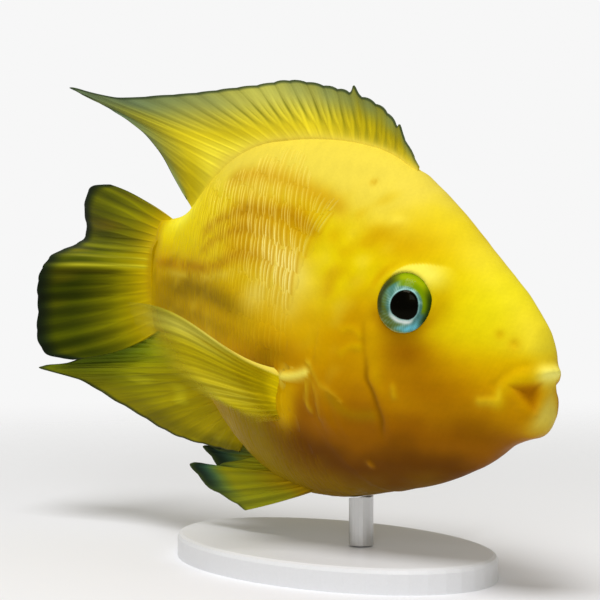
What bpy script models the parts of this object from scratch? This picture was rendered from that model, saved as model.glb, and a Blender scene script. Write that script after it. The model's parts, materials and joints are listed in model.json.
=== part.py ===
"""Blood parrot cichlid at life size, swimming over a plain display stand.

The fish is laid out in its own frame and then pitched and lifted over the
stand. In that frame x runs forward, y to the fish's left and z up. A place on
the fish is written as (back, height) or (back, side, height) in standard
lengths: back is measured from the tip of the snout toward the tail, side is
measured from the midline and height from the tip of the snout.
All other sizes are in metres.
"""
import math

import bmesh
import bpy
import numpy as np
from mathutils import Vector

# Driving dimensions
STANDARD_LENGTH = 0.120
NOSE_DOWN = math.radians(5.0)
SEAM = 0.0003

# Body stations: back, top, bottom, half width, height of the widest line,
# sharpness of the back and sharpness of the belly
BODY = np.array((
    (0.006, 0.053, -0.096, 0.034, -0.035, 0.90, 0.76),
    (0.050, 0.100, -0.104, 0.051, -0.030, 0.90, 0.80),
    (0.080, 0.127, -0.118, 0.063, -0.026, 0.90, 0.88),
    (0.120, 0.160, -0.146, 0.078, -0.024, 0.92, 1.00),
    (0.170, 0.198, -0.181, 0.094, -0.022, 0.93, 1.00),
    (0.230, 0.242, -0.212, 0.111, -0.022, 0.95, 1.00),
    (0.300, 0.288, -0.230, 0.128, -0.022, 1.02, 1.00),
    (0.370, 0.318, -0.250, 0.142, -0.020, 1.12, 1.00),
    (0.450, 0.333, -0.269, 0.150, -0.015, 1.20, 1.02),
    (0.530, 0.336, -0.272, 0.150, -0.005, 1.26, 1.06),
    (0.620, 0.331, -0.253, 0.138, 0.005, 1.28, 1.12),
    (0.700, 0.318, -0.214, 0.116, 0.015, 1.28, 1.16),
    (0.780, 0.286, -0.160, 0.088, 0.028, 1.26, 1.18),
    (0.840, 0.238, -0.118, 0.068, 0.040, 1.20, 1.16),
    (0.890, 0.186, -0.085, 0.052, 0.048, 1.10, 1.10),
    (0.940, 0.164, -0.062, 0.040, 0.050, 1.00, 1.00),
    (1.000, 0.156, -0.048, 0.020, 0.050, 1.00, 1.00),
))
BODY_RINGS = 34
BODY_SIDES = 32
RING_CROWDING = 1.40
NOSE_ROUND = 0.026
CHIN_BLUNTNESS = 0.40
TAIL_ROUND = 0.020

# Eyes
EYE = (0.231, 0.096, 0.093)
EYE_RADIUS = 0.0059
EYE_HALF_DEPTH = 0.0044
EYE_MERIDIANS = 20
EYE_PARALLELS = 10
EYE_FORWARD = math.radians(22.0)
EYE_UPWARD = math.radians(8.0)
ORBIT_RADIUS = 0.062
ORBIT_SWELL = 0.010

# Seam between head and trunk, and the outline of a gill cover
NAPE_SEAM = (
    (0.290, 0.420), (0.312, 0.250), (0.360, 0.165), (0.384, 0.080),
    (0.393, -0.020), (0.388, -0.100), (0.365, -0.165), (0.340, -0.225), (0.330, -0.400),
)
GILL_OUTLINE = (
    (0.310, 0.110), (0.375, 0.125), (0.450, 0.090), (0.450, -0.150), (0.360, -0.186),
    (0.295, -0.188), (0.252, -0.160), (0.268, -0.100), (0.290, -0.030), (0.300, 0.050),
)
GILL_THICK = 0.0018
GILL_RAISE = 0.0005
GILL_INNER_SIDE = 0.030
GILL_SPAN = (0.19, 0.50)
TAIL_SEAM = 0.893

# Reach of the cutting solids, clear of the whole body
CLEAR = 0.6 * STANDARD_LENGTH

# Mouth: each lip runs from the front to the corner, and the upper one on down
# behind it; the lower jaw dips on either side of its raised tip
UPPER_LIP = (
    (0.000, 0.000, 0.006), (0.007, 0.016, 0.002), (0.018, 0.032, -0.005),
    (0.034, 0.046, -0.013), (0.053, 0.053, -0.021), (0.066, 0.057, -0.036),
    (0.074, 0.057, -0.056),
)
UPPER_LIP_RADII = (0.0014, 0.0012, 0.0010, 0.0010, 0.0010, 0.0010, 0.0007)
LOWER_LIP = (
    (0.010, 0.000, -0.031), (0.012, 0.013, -0.036), (0.020, 0.027, -0.048),
    (0.036, 0.044, -0.038), (0.053, 0.051, -0.026),
)
LOWER_LIP_RADII = (0.0011, 0.0010, 0.0009, 0.0008, 0.0007)
LIP_SIDES = 8
LIP_STEPS = 27
GAPE = (
    (0.050, 0.062, -0.022), (0.010, 0.052, -0.056), (-0.016, 0.034, -0.012),
    (0.056, 0.010, -0.024), (0.036, 0.010, -0.036), (0.022, 0.010, -0.020),
)
NOSTRIL = (0.051, 0.042, 0.051)
NOSTRIL_RADIUS = 0.0008
SHARP_ANGLE = math.radians(40.0)

# Fins: a membrane with ridges along the rays
MEMBRANE = 0.0006
RAY_RIDGE = 0.0006
RAY_FLANK = 0.24
EDGE = 0.0003
FIN_ROWS = 6
ROW_CROWDING = 1.15
ROOT_SPREAD = 0.10
ROOT_SUNK = 0.0025
PELVIC_SWING = {"left": 0.068, "right": 0.0}

# Stand
BASE_LENGTH = 0.080
BASE_WIDTH = 0.050
BASE_THICK = 0.005
BASE_BEVEL = 0.0010
BASE_SIDES = 48
ROD_RADIUS = 0.0025
ROD_SIDES = 20
ROD_BACK = 0.415
ROD_TOP = -0.150
FIN_CLEARANCE = 0.004


def clear_scene():
    """Remove every object of the opening scene."""
    for item in list(bpy.data.objects):
        bpy.data.objects.remove(item, do_unlink=True)


def material(name, colour, roughness, metallic=0.0):
    """Plain finish of one colour."""
    made = bpy.data.materials.new(name)
    made.use_nodes = True
    shader = made.node_tree.nodes["Principled BSDF"]
    shader.inputs["Base Color"].default_value = (*colour, 1.0)
    shader.inputs["Roughness"].default_value = roughness
    shader.inputs["Metallic"].default_value = metallic
    return made


def smooth_curve(at, xs, ys):
    """Cubic curve through the points (xs, ys), read at the places `at`."""
    xs, ys = np.asarray(xs, float), np.asarray(ys, float)
    slopes = np.gradient(ys, xs, axis=0)
    at = np.clip(at, xs[0], xs[-1])
    piece = np.clip(np.searchsorted(xs, at) - 1, 0, len(xs) - 2)
    span = xs[piece + 1] - xs[piece]
    t = (at - xs[piece]) / span
    if ys.ndim > 1:
        t, span = t[:, None], span[:, None]
    start, end = ys[piece], ys[piece + 1]
    start_slope, end_slope = slopes[piece] * span, slopes[piece + 1] * span
    return (start * (1 + 2 * t) * (1 - t) ** 2 + start_slope * t * (1 - t) ** 2
            + end * t * t * (3 - 2 * t) - end_slope * t * t * (1 - t))


def place(back, side, height):
    """Metres in the fish's frame from a place in standard lengths."""
    parts = np.broadcast_arrays((0.5 - np.asarray(back)), side, height)
    return np.stack(parts, axis=-1) * STANDARD_LENGTH


def finished(name, worker, look):
    """Object in the scene from a mesh under construction, faces turned outward."""
    worker.normal_update()
    bmesh.ops.recalc_face_normals(worker, faces=worker.faces)
    mesh = bpy.data.meshes.new(name)
    worker.to_mesh(mesh)
    worker.free()
    if look:
        mesh.materials.append(look)
    made = bpy.data.objects.new(name, mesh)
    bpy.context.scene.collection.objects.link(made)
    return made


def mesh_object(name, points, faces, look):
    """Object from a list of points and the faces between them."""
    worker = bmesh.new()
    verts = [worker.verts.new(p) for p in points]
    for face in faces:
        worker.faces.new([verts[i] for i in face])
    return finished(name, worker, look)


def combine(target, other, operation, keep_other=False):
    """Boolean of two closed objects, applied to the first."""
    step = target.modifiers.new("combine", "BOOLEAN")
    step.operation = operation
    step.solver = "EXACT"
    step.object = other
    view = bpy.context.evaluated_depsgraph_get()
    result = bpy.data.meshes.new_from_object(target.evaluated_get(view))
    old = target.data
    target.modifiers.clear()
    target.data = result
    bpy.data.meshes.remove(old)
    if not keep_other:
        bpy.data.objects.remove(other, do_unlink=True)
    keep_largest(target)


def keep_largest(target):
    """Leave only the closed surface with the most faces."""
    worker = bmesh.new()
    worker.from_mesh(target.data)
    worker.faces.ensure_lookup_table()
    unseen = set(worker.faces)
    groups = []
    while unseen:
        group = {unseen.pop()}
        front = list(group)
        while front:
            face = front.pop()
            for edge in face.edges:
                for near in edge.link_faces:
                    if near in unseen:
                        unseen.discard(near)
                        group.add(near)
                        front.append(near)
        groups.append(group)
    groups.sort(key=len)
    for group in groups[:-1]:
        bmesh.ops.delete(worker, geom=list(group), context="FACES")
    loose = [v for v in worker.verts if not v.link_faces]
    bmesh.ops.delete(worker, geom=loose, context="VERTS")
    worker.to_mesh(target.data)
    worker.free()


def copy_of(source, name):
    """Second object with its own copy of the mesh."""
    made = source.copy()
    made.data = source.data.copy()
    made.name = name
    bpy.context.scene.collection.objects.link(made)
    return made


def grid_normals(points):
    """Unit normals of a grid of rings, outward for rings that turn with the body."""
    along = np.gradient(points, axis=0)
    around = np.roll(points, -1, axis=1) - np.roll(points, 1, axis=1)
    normals = np.cross(around, along)
    return normals / np.linalg.norm(normals, axis=2, keepdims=True)


def body_rings(back, angles):
    """Rings of the body; angle 0 is the back and a quarter turn the left side."""
    top, bottom, half, widest, ridge, keel = smooth_curve(back, BODY[:, 0], BODY[:, 1:]).T
    start, end = BODY[0, 0], BODY[-1, 0]
    nose = np.clip((back - start) / NOSE_ROUND, 0.0, 1.0)
    tail = np.clip((end - back) / TAIL_ROUND, 0.0, 1.0)
    rounding = np.sqrt(1 - (1 - nose) ** 2) * np.sqrt(1 - (1 - tail) ** 2)
    up = (top - widest) * rounding
    down = (widest - bottom) * rounding ** CHIN_BLUNTNESS
    c, s = np.cos(angles)[None, :], np.sin(angles)[None, :]
    power = np.where(c > 0, ridge[:, None], keel[:, None])
    side = (half * rounding)[:, None] * np.sign(s) * np.abs(s) ** power
    height = widest[:, None] + np.where(c > 0, up[:, None], down[:, None]) * c
    return place(back[:, None], side, height)


def orbit_swell(points):
    """Outward swelling of the skin round each eye."""
    centre = place(*EYE)
    away = points * (1, 0, 1) - centre * (1, 0, 1)
    distance = np.linalg.norm(away, axis=2) / (ORBIT_RADIUS * STANDARD_LENGTH)
    flank = np.abs(points[..., 1]) / (EYE[1] * STANDARD_LENGTH)
    return ORBIT_SWELL * STANDARD_LENGTH * np.exp(-distance ** 2) * np.clip(flank, 0, 1)


def body(name, look, grow=0.0, span=None):
    """The whole closed body, or a span of it, its skin moved outward by `grow`."""
    start, end = BODY[0, 0], BODY[-1, 0]
    steps = np.linspace(0, 1, BODY_RINGS + 2)[1:-1]
    back = start + (end - start) * steps ** RING_CROWDING
    if span:
        back = back[(back > span[0]) & (back < span[1])]
        start, end = back[0], back[-1]
    angles = np.arange(BODY_SIDES) * 2 * math.pi / BODY_SIDES
    points = body_rings(back, angles)
    points += grid_normals(points) * (orbit_swell(points) + grow)[..., None]
    middle = smooth_curve(np.array((start, end)), BODY[:, 0], BODY[:, 4])
    tips = place(np.array((start, end)), 0.0, middle)
    if not span:
        tips[:, 0] += (grow, -grow)
    verts = [tuple(p) for p in points.reshape(-1, 3)] + [tuple(p) for p in tips]
    snout, tail = len(verts) - 2, len(verts) - 1
    faces = []
    for ring in range(len(back) - 1):
        for side in range(BODY_SIDES):
            a = ring * BODY_SIDES + side
            b = ring * BODY_SIDES + (side + 1) % BODY_SIDES
            faces.append((a, a + BODY_SIDES, b))
            faces.append((b, a + BODY_SIDES, b + BODY_SIDES))
    last = (len(back) - 1) * BODY_SIDES
    for side in range(BODY_SIDES):
        follow = (side + 1) % BODY_SIDES
        faces.append((side, follow, snout))
        faces.append((last + side, tail, last + follow))
    return mesh_object(name, verts, faces, look)


def prism(name, outline, near, far):
    """Solid with an (x, z) outline that runs across from y = near to y = far."""
    count = len(outline)
    points = [(x, near, z) for x, z in outline] + [(x, far, z) for x, z in outline]
    faces = [tuple(range(count)), tuple(range(2 * count - 1, count - 1, -1))]
    for i in range(count):
        j = (i + 1) % count
        faces.append((i, j, j + count, i + count))
    return mesh_object(name, points, faces, None)


def seam_prism(shift):
    """Solid over the whole head, as far back as the seam at the nape."""
    backs, heights = np.array(NAPE_SEAM).T
    fine = np.linspace(heights[0], heights[-1], 40)
    line = smooth_curve(-fine, -heights, backs)
    edge = place(line, 0.0, fine)
    outline = [(p[0] - shift, p[2]) for p in edge]
    outline += [(CLEAR, outline[-1][1]), (CLEAR, outline[0][1])]
    return prism("seam_prism", outline, -CLEAR, CLEAR)


def gill_prism(side, grow):
    """Solid over one gill cover, its outline moved outward by `grow`."""
    outline = np.array(GILL_OUTLINE)
    count = len(outline)
    closed = np.vstack((outline[-1:], outline, outline[:2]))
    fine = np.linspace(0, count, 4 * count, endpoint=False)
    round_line = smooth_curve(fine, np.arange(-1, count + 2), closed)
    centre = round_line.mean(axis=0)
    away = round_line - centre
    away *= 1 + grow / (STANDARD_LENGTH * np.linalg.norm(away, axis=1, keepdims=True))
    places = place(centre[0] + away[:, 0], 0.0, centre[1] + away[:, 1])
    inner = GILL_INNER_SIDE * STANDARD_LENGTH
    return prism("gill_prism", [(p[0], p[2]) for p in places], side * inner, side * CLEAR)


def slab(name, back_from, back_to):
    """Box over a length of the body."""
    rear, front = place(back_to, 0, 0)[0], place(back_from, 0, 0)[0]
    outline = [(rear, -CLEAR), (front, -CLEAR), (front, CLEAR), (rear, CLEAR)]
    return prism(name, outline, -CLEAR, CLEAR)


def eye(name, side, look, grow=0.0):
    """Eyeball, a flattened ball that faces outward, a little forward and up."""
    worker = bmesh.new()
    bmesh.ops.create_uvsphere(worker, u_segments=EYE_MERIDIANS, v_segments=EYE_PARALLELS,
                              radius=1.0)
    bmesh.ops.triangulate(worker, faces=worker.faces)
    radius, depth = EYE_RADIUS + grow, EYE_HALF_DEPTH + grow
    outward = Vector((math.sin(EYE_FORWARD) * math.cos(EYE_UPWARD),
                      side * math.cos(EYE_FORWARD) * math.cos(EYE_UPWARD),
                      math.sin(EYE_UPWARD)))
    across = Vector((0, 0, 1)).cross(outward).normalized()
    upright = outward.cross(across)
    centre = Vector(place(EYE[0], side * EYE[1], EYE[2]))
    for vert in worker.verts:
        x, y, z = vert.co
        vert.co = centre + across * x * radius + upright * y * radius + outward * z * depth
    return finished(name, worker, look)


def lip(name, path, radii, look):
    """Round roll through the places of one side and their mirror images."""
    half = np.array(path)
    mirrored = half[:0:-1] * (1, -1, 1)
    places = np.vstack((mirrored, half))
    sizes = np.concatenate((np.array(radii)[:0:-1], radii))
    at = np.linspace(0, 1, len(places))
    fine = np.linspace(0, 1, LIP_STEPS)
    back, side, height = smooth_curve(fine, at, places).T
    centres = place(back, side, height)
    thick = smooth_curve(fine, at, sizes)
    ahead = np.gradient(centres, axis=0)
    ahead /= np.linalg.norm(ahead, axis=1, keepdims=True)
    across = np.cross(ahead, (0, 0, 1))
    across /= np.linalg.norm(across, axis=1, keepdims=True)
    upward = np.cross(across, ahead)
    turn = np.arange(LIP_SIDES) * 2 * math.pi / LIP_SIDES
    ring = np.cos(turn)[:, None] * across[:, None] + np.sin(turn)[:, None] * upward[:, None]
    points = centres[:, None] + ring * thick[:, None, None]
    faces = [tuple(range(LIP_SIDES))]
    for step in range(LIP_STEPS - 1):
        for i in range(LIP_SIDES):
            j = (i + 1) % LIP_SIDES
            low, high = step * LIP_SIDES, (step + 1) * LIP_SIDES
            faces += [(low + i, low + j, high + j), (low + i, high + j, high + i)]
    last = (LIP_STEPS - 1) * LIP_SIDES
    faces.append(tuple(range(last + LIP_SIDES - 1, last - 1, -1)))
    return mesh_object(name, points.reshape(-1, 3), faces, look)


def gape(side):
    """Wedge that opens one side of the mouth between the lips."""
    worker = bmesh.new()
    for back, out, height in GAPE:
        worker.verts.new(place(back, side * out, height))
    bmesh.ops.convex_hull(worker, input=worker.verts)
    return finished("gape", worker, None)


def nostril(side):
    """Small ball that hollows out one nostril."""
    worker = bmesh.new()
    bmesh.ops.create_icosphere(worker, subdivisions=2, radius=NOSTRIL_RADIUS)
    back, out, height = NOSTRIL
    bmesh.ops.translate(worker, verts=worker.verts, vec=place(back, side * out, height))
    return finished("nostril", worker, None)


def fin(name, look, rays, root, tip, bow, notch, root_thick):
    """Rayed fin between a root line and its margin.

    root, tip and bow take positions along the fin from 0 to 1 and give points
    in standard lengths; bow is how far the fin's middle stands off a straight
    line. Each ray is a ridge in both faces, and the margin is drawn in between
    the rays by `notch` of their length. The fin is thicker by `root_thick` at
    its root.
    """
    centres = np.linspace(0, 1, rays)
    step = 1 / (rays - 1)
    flank = RAY_FLANK * step
    u = np.sort(np.concatenate((centres, centres[:-1] + flank, centres[1:] - flank)))
    on_ray = np.isclose(np.abs(u * (rays - 1) - np.round(u * (rays - 1))), 0, atol=1e-6)
    rows = FIN_ROWS
    v = np.linspace(0, 1, rows) ** ROW_CROWDING
    start, end, lean = place(*root(u).T), place(*tip(u).T), bow(u) * STANDARD_LENGTH
    drawn_in = np.where(on_ray, 1.0, 1.0 - notch(u))
    way = v[:, None] * drawn_in[None, :]
    way = way[..., None]
    points = start + (end - start) * way + 4 * way * (1 - way) * lean
    normals = np.cross(np.gradient(points, axis=0), np.gradient(points, axis=1))
    normals /= np.linalg.norm(normals, axis=2, keepdims=True)
    ridge = RAY_RIDGE * on_ray[None, :] * (1 - 0.5 * v[:, None])
    thick = MEMBRANE + ridge + root_thick * np.exp(-v / ROOT_SPREAD)[:, None]
    thick[-1] = EDGE
    left = (points + normals * thick[..., None] / 2).reshape(-1, 3)
    right = (points - normals * thick[..., None] / 2).reshape(-1, 3)
    columns, half = len(u), left.shape[0]
    faces = []
    for row in range(rows - 1):
        for column in range(columns - 1):
            a = row * columns + column
            b, c, d = a + 1, a + columns + 1, a + columns
            faces += [(a, b, c), (a, c, d)]
            faces += [(a + half, c + half, b + half), (a + half, d + half, c + half)]
    border = [row * columns for row in range(rows)]
    border += [(rows - 1) * columns + column for column in range(1, columns)]
    border += [row * columns + columns - 1 for row in range(rows - 2, -1, -1)]
    border += list(range(columns - 2, 0, -1))
    for a, b in zip(border, border[1:] + border[:1]):
        faces += [(a, b, b + half), (a, b + half, a + half)]
    return mesh_object(name, np.vstack((left, right)), faces, look)


def line_through(points, at=None):
    """Function that reads a smooth line through points at positions from 0 to 1."""
    points = np.array(points, float)
    at = np.linspace(0, 1, len(points)) if at is None else np.array(at)
    return lambda u: smooth_curve(u, at, points)


def constant(*value):
    """The same point at every position along a fin."""
    return lambda u: np.broadcast_to(np.array(value, float), (len(u), len(value)))


def fade(first, last, power):
    """Value that falls from first to last along a fin."""
    return lambda u: last + (first - last) * (1 - u) ** power


def sunk(line, direction):
    """The same line, moved into the body by the depth of a fin's root."""
    shift = np.array(direction, float) * ROOT_SUNK / STANDARD_LENGTH
    return lambda u: line(u) + shift


def along_back(first, last, edge):
    """Line along the midline of the back (edge 1) or of the belly (edge 2)."""
    def line(u):
        back = first + (last - first) * u
        height = smooth_curve(back, BODY[:, 0], BODY[:, edge])
        return np.stack((back, np.zeros_like(back), height), axis=1)
    return line


def dorsal_fin(look):
    """Fin along the back, drawn out behind into a long point."""
    margin = line_through((
        (0.325, 0.000, 0.326), (0.370, 0.000, 0.371), (0.450, 0.000, 0.410),
        (0.543, 0.000, 0.434), (0.640, 0.000, 0.437), (0.740, 0.000, 0.418),
        (0.850, 0.000, 0.402), (0.990, 0.000, 0.388), (1.130, -0.004, 0.377),
        (1.279, -0.010, 0.388), (1.160, 0.000, 0.352), (1.035, 0.004, 0.296),
        (0.925, 0.000, 0.202),
    ))
    bend = line_through(((0, 0, 0), (0, 0.004, 0), (0, -0.004, 0), (0, 0.006, 0), (0, 0, 0)))
    root = sunk(along_back(0.320, 0.880, 1), (0, 0, -1))
    return fin("dorsal_fin", look, 27, root, margin, bend, fade(0.12, 0.012, 4), 0.0010)


def anal_fin(look):
    """Fin under the tail stalk, drawn out behind into a thin point."""
    margin = line_through((
        (0.722, 0.000, -0.238), (0.790, 0.000, -0.242), (0.875, 0.000, -0.240),
        (0.970, 0.000, -0.229), (1.080, -0.003, -0.205), (1.200, -0.006, -0.180),
        (1.347, -0.010, -0.173), (1.235, 0.002, -0.138), (1.110, 0.006, -0.098),
        (0.985, 0.004, -0.062),
    ))
    bend = line_through(((0, 0, 0), (0, -0.005, 0), (0, 0.005, 0), (0, 0, 0)))
    root = sunk(along_back(0.700, 0.905, 2), (0, 0, 1))
    return fin("anal_fin", look, 16, root, margin, bend, fade(0.08, 0.015, 3), 0.0010)


def caudal_fin(look):
    """Fan with its upper part bent to the left, over a pleat, and the rest swung right."""
    root = line_through(((0.925, 0, 0.152), (0.975, 0, 0.104), (0.985, 0, 0.040),
                         (0.960, 0, -0.042)))
    margin = line_through((
        (1.195, 0.036, 0.207), (1.262, 0.042, 0.199), (1.292, 0.044, 0.162),
        (1.298, 0.040, 0.086), (1.276, 0.002, 0.075), (1.266, -0.036, 0.065),
        (1.254, -0.062, 0.047), (1.267, -0.074, -0.040), (1.262, -0.070, -0.108),
        (1.236, -0.063, -0.133), (1.172, -0.052, -0.138),
    ), at=(0, 0.067, 0.15, 0.33, 0.40, 0.46, 0.53, 0.75, 0.88, 0.94, 1))

    def bend(u):
        edge = np.exp(-u / 0.10) - 1.4 * np.exp((u - 1) / 0.10)
        rise = np.stack((0 * u, 0 * u, 0.010 * edge), axis=1)
        return margin(u) * (0, -0.16, 0) + rise

    return fin("caudal_fin", look, 16, root, margin, bend, fade(0.02, 0.02, 1), 0.0010)


def pectoral_fin(name, side, look):
    """Long side fin, held out and back behind the gill cover."""
    root = line_through(((0.408, side * 0.141, -0.056), (0.417, side * 0.138, -0.088),
                         (0.430, side * 0.131, -0.121)))
    margin = line_through((
        (0.662, side * 0.318, 0.050), (0.648, side * 0.309, 0.018), (0.632, side * 0.298, -0.014),
        (0.608, side * 0.280, -0.048), (0.570, side * 0.253, -0.080),
        (0.520, side * 0.219, -0.110), (0.475, side * 0.188, -0.128),
    ))
    bend = constant(0, side * 0.008, -0.002)
    return fin(name, look, 13, sunk(root, (0, -side, 0)), margin, bend, fade(0.03, 0.03, 1),
               0.0014)


def pelvic_fin(name, side, look, swing):
    """Fin under the belly, swung back and inward by `swing` at its tips."""
    root = line_through(((0.450, side * 0.044, -0.246), (0.484, side * 0.034, -0.206)))
    margin = line_through((
        (0.640, side * 0.050, -0.330), (0.697, side * 0.053, -0.317), (0.743, side * 0.055, -0.297),
        (0.774, side * 0.056, -0.272), (0.750, side * 0.052, -0.260),
        (0.706, side * 0.048, -0.246), (0.640, side * 0.042, -0.228),
    ))
    moved = np.array((swing, -side * swing * 0.4, swing * 0.22))
    bend = constant(0, side * 0.004, -0.004)
    return fin(name, look, 7, root, lambda u: margin(u) + moved, bend,
               fade(0.02, 0.02, 1), 0.0006)


def stand_base(look):
    """Oval plate with a rounded upper edge and a flat underside."""
    turn = np.arange(BASE_SIDES) * 2 * math.pi / BASE_SIDES
    levels = ((0.0, 0.0), (0.0, BASE_THICK - BASE_BEVEL),
              (BASE_BEVEL * 0.3, BASE_THICK - BASE_BEVEL * 0.3), (BASE_BEVEL, BASE_THICK))
    points = []
    for inset, height in levels:
        x = (BASE_LENGTH / 2 - inset) * np.cos(turn)
        y = (BASE_WIDTH / 2 - inset) * np.sin(turn)
        points += [(a, b, height) for a, b in zip(x, y)]
    faces = [tuple(range(BASE_SIDES - 1, -1, -1))]
    for level in range(len(levels) - 1):
        for i in range(BASE_SIDES):
            j = (i + 1) % BASE_SIDES
            low = level * BASE_SIDES
            faces.append((low + i, low + j, low + BASE_SIDES + j, low + BASE_SIDES + i))
    top = (len(levels) - 1) * BASE_SIDES
    faces.append(tuple(range(top, top + BASE_SIDES)))
    return mesh_object("stand_base", points, faces, look)


def stand_rod(look, where, top):
    """Upright rod from the plate to the height `top`, at `where` along the plate."""
    worker = bmesh.new()
    bottom = BASE_THICK + SEAM
    bmesh.ops.create_cone(worker, cap_ends=True, segments=ROD_SIDES, radius1=ROD_RADIUS,
                          radius2=ROD_RADIUS, depth=top - bottom)
    bmesh.ops.translate(worker, verts=worker.verts, vec=(where, 0, (top + bottom) / 2))
    return finished("stand_rod", worker, look)


def lowest(objects):
    """Height of the lowest point of the objects."""
    return min(min((o.matrix_world @ v.co).z for v in o.data.vertices) for o in objects)


def build():
    """Make every part of the fish, pose it and set it on its stand."""
    clear_scene()
    skin = material("yellow_skin", (0.83, 0.60, 0.02), 0.42)
    fin_look = material("olive_fin", (0.42, 0.42, 0.05), 0.50)
    eye_look = material("dark_eye", (0.02, 0.05, 0.06), 0.08)
    plate_look = material("stand_plate", (0.80, 0.79, 0.76), 0.45)
    rod_look = material("stand_rod_steel", (0.62, 0.62, 0.62), 0.30, 1.0)

    whole = body("whole", skin)
    over = body("over", None, SEAM)
    head = copy_of(whole, "head")
    combine(head, seam_prism(0.0), "INTERSECT")
    trunk = copy_of(whole, "trunk")
    combine(trunk, seam_prism(SEAM), "DIFFERENCE")
    tail_stalk = copy_of(trunk, "tail_stalk")
    gap = SEAM / STANDARD_LENGTH
    combine(trunk, slab("front_slab", -0.1, TAIL_SEAM), "INTERSECT")
    combine(tail_stalk, slab("rear_slab", TAIL_SEAM + gap, 1.1), "INTERSECT")

    fish = [head, trunk, tail_stalk]
    for side, word in ((1, "left"), (-1, "right")):
        cover = body("gill_cover_" + word, skin, GILL_RAISE, GILL_SPAN)
        combine(cover, seam_prism(0.0), "INTERSECT")
        combine(cover, gill_prism(side, 0.0), "INTERSECT")
        combine(cover, body("inner", None, -GILL_THICK, GILL_SPAN), "DIFFERENCE")
        pocket = gill_prism(side, SEAM)
        combine(pocket, body("inner", None, -GILL_THICK - SEAM, GILL_SPAN), "DIFFERENCE")
        combine(head, pocket, "DIFFERENCE")
        fish.append(cover)
        combine(head, eye("socket", side, eye_look, SEAM), "DIFFERENCE")
        combine(head, nostril(side), "DIFFERENCE")
        combine(head, gape(side), "DIFFERENCE")
        fish.append(eye("eye_" + word, side, eye_look))
    combine(head, lip("upper_lip", UPPER_LIP, UPPER_LIP_RADII, skin), "UNION")
    combine(head, lip("lower_lip", LOWER_LIP, LOWER_LIP_RADII, skin), "UNION")

    fins = [dorsal_fin(fin_look), anal_fin(fin_look), caudal_fin(fin_look)]
    for side, word in ((1, "left"), (-1, "right")):
        fins.append(pectoral_fin("pectoral_fin_" + word, side, fin_look))
        fins.append(pelvic_fin("pelvic_fin_" + word, side, fin_look, PELVIC_SWING[word]))
    for made in fins:
        combine(made, over, "DIFFERENCE", keep_other=True)
    fish += fins

    pose = bpy.data.objects.new("fish_pose", None)
    bpy.context.scene.collection.objects.link(pose)
    pose.rotation_euler = (0, NOSE_DOWN, 0)
    for made in fish + [over]:
        made.parent = pose
    bpy.context.view_layer.update()
    pose.location.z = BASE_THICK + FIN_CLEARANCE - lowest(fish)
    bpy.context.view_layer.update()

    stand_base(plate_look)
    rod_place = pose.matrix_world @ Vector(place(ROD_BACK, 0.0, ROD_TOP))
    rod = stand_rod(rod_look, rod_place.x, rod_place.z)
    combine(rod, over, "DIFFERENCE")
    bpy.data.objects.remove(whole, do_unlink=True)
    for made in fish:
        made.data.shade_smooth()
        made.data.set_sharp_from_angle(angle=SHARP_ANGLE)


build()
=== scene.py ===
# %% [markdown]
# # A blood parrot cichlid on a plain stand
# The fish is a deep yellow aquarium cichlid, modelled at life size and in one
# still pose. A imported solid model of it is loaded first. Every piece below is a
# finer surface that takes the place of one of those solids, so all sizes come
# from the same measures as theirs.

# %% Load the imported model
import json
import math

import bpy
import numpy as np
from mathutils import Matrix, Vector

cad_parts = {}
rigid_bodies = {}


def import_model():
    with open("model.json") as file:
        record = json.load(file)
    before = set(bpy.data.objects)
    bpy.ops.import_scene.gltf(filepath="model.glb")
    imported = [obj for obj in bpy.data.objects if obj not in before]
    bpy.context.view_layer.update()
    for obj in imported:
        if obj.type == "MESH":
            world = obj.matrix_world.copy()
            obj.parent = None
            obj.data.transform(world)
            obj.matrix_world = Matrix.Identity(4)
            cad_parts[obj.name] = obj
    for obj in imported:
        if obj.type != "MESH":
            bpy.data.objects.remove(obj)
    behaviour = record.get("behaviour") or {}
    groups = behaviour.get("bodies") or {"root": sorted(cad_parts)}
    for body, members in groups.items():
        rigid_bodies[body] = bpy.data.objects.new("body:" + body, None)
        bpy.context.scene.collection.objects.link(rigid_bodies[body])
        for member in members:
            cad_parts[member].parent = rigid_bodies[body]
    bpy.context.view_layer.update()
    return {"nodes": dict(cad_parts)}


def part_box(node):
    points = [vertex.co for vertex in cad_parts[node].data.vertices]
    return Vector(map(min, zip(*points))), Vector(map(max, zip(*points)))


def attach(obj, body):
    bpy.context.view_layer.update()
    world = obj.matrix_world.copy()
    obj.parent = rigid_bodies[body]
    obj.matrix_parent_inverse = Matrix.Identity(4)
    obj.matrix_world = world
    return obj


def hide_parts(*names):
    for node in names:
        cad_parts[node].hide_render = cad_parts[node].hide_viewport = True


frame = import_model()
print("nodes:", ", ".join(sorted(frame["nodes"])))

# %% [markdown]
# ## The fish's own frame
# A place on the fish is written as back, side and height in standard lengths,
# the length from the snout to the end of the tail stalk: back runs from the
# snout toward the tail, side to the fish's left and height up from the snout.
# The finished points are tipped a little nose down and lifted to where the
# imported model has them. The lift is read from the eye, whose box is centred on
# the same point in both.

# %% Places on the fish
LENGTH = 0.120
NOSE_DOWN = math.radians(5.0)
EYE = (0.231, 0.096, 0.093)
TIP = np.array(((math.cos(NOSE_DOWN), 0, math.sin(NOSE_DOWN)), (0, 1, 0),
                (-math.sin(NOSE_DOWN), 0, math.cos(NOSE_DOWN))))


def place(back, side, height):
    """Metres in the fish's frame: half a length less back, then side and height."""
    parts = np.broadcast_arrays(0.5 - np.asarray(back, float), side, height)
    return np.stack(parts, axis=-1) * LENGTH


low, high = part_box("eye_left")
LIFT = (low.z + high.z) / 2 - (place(*EYE) @ TIP.T)[2]


def posed(points):
    """Points turned nose down about the crosswise axis and lifted to the stand."""
    return points @ TIP.T + (0, 0, LIFT)


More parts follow.
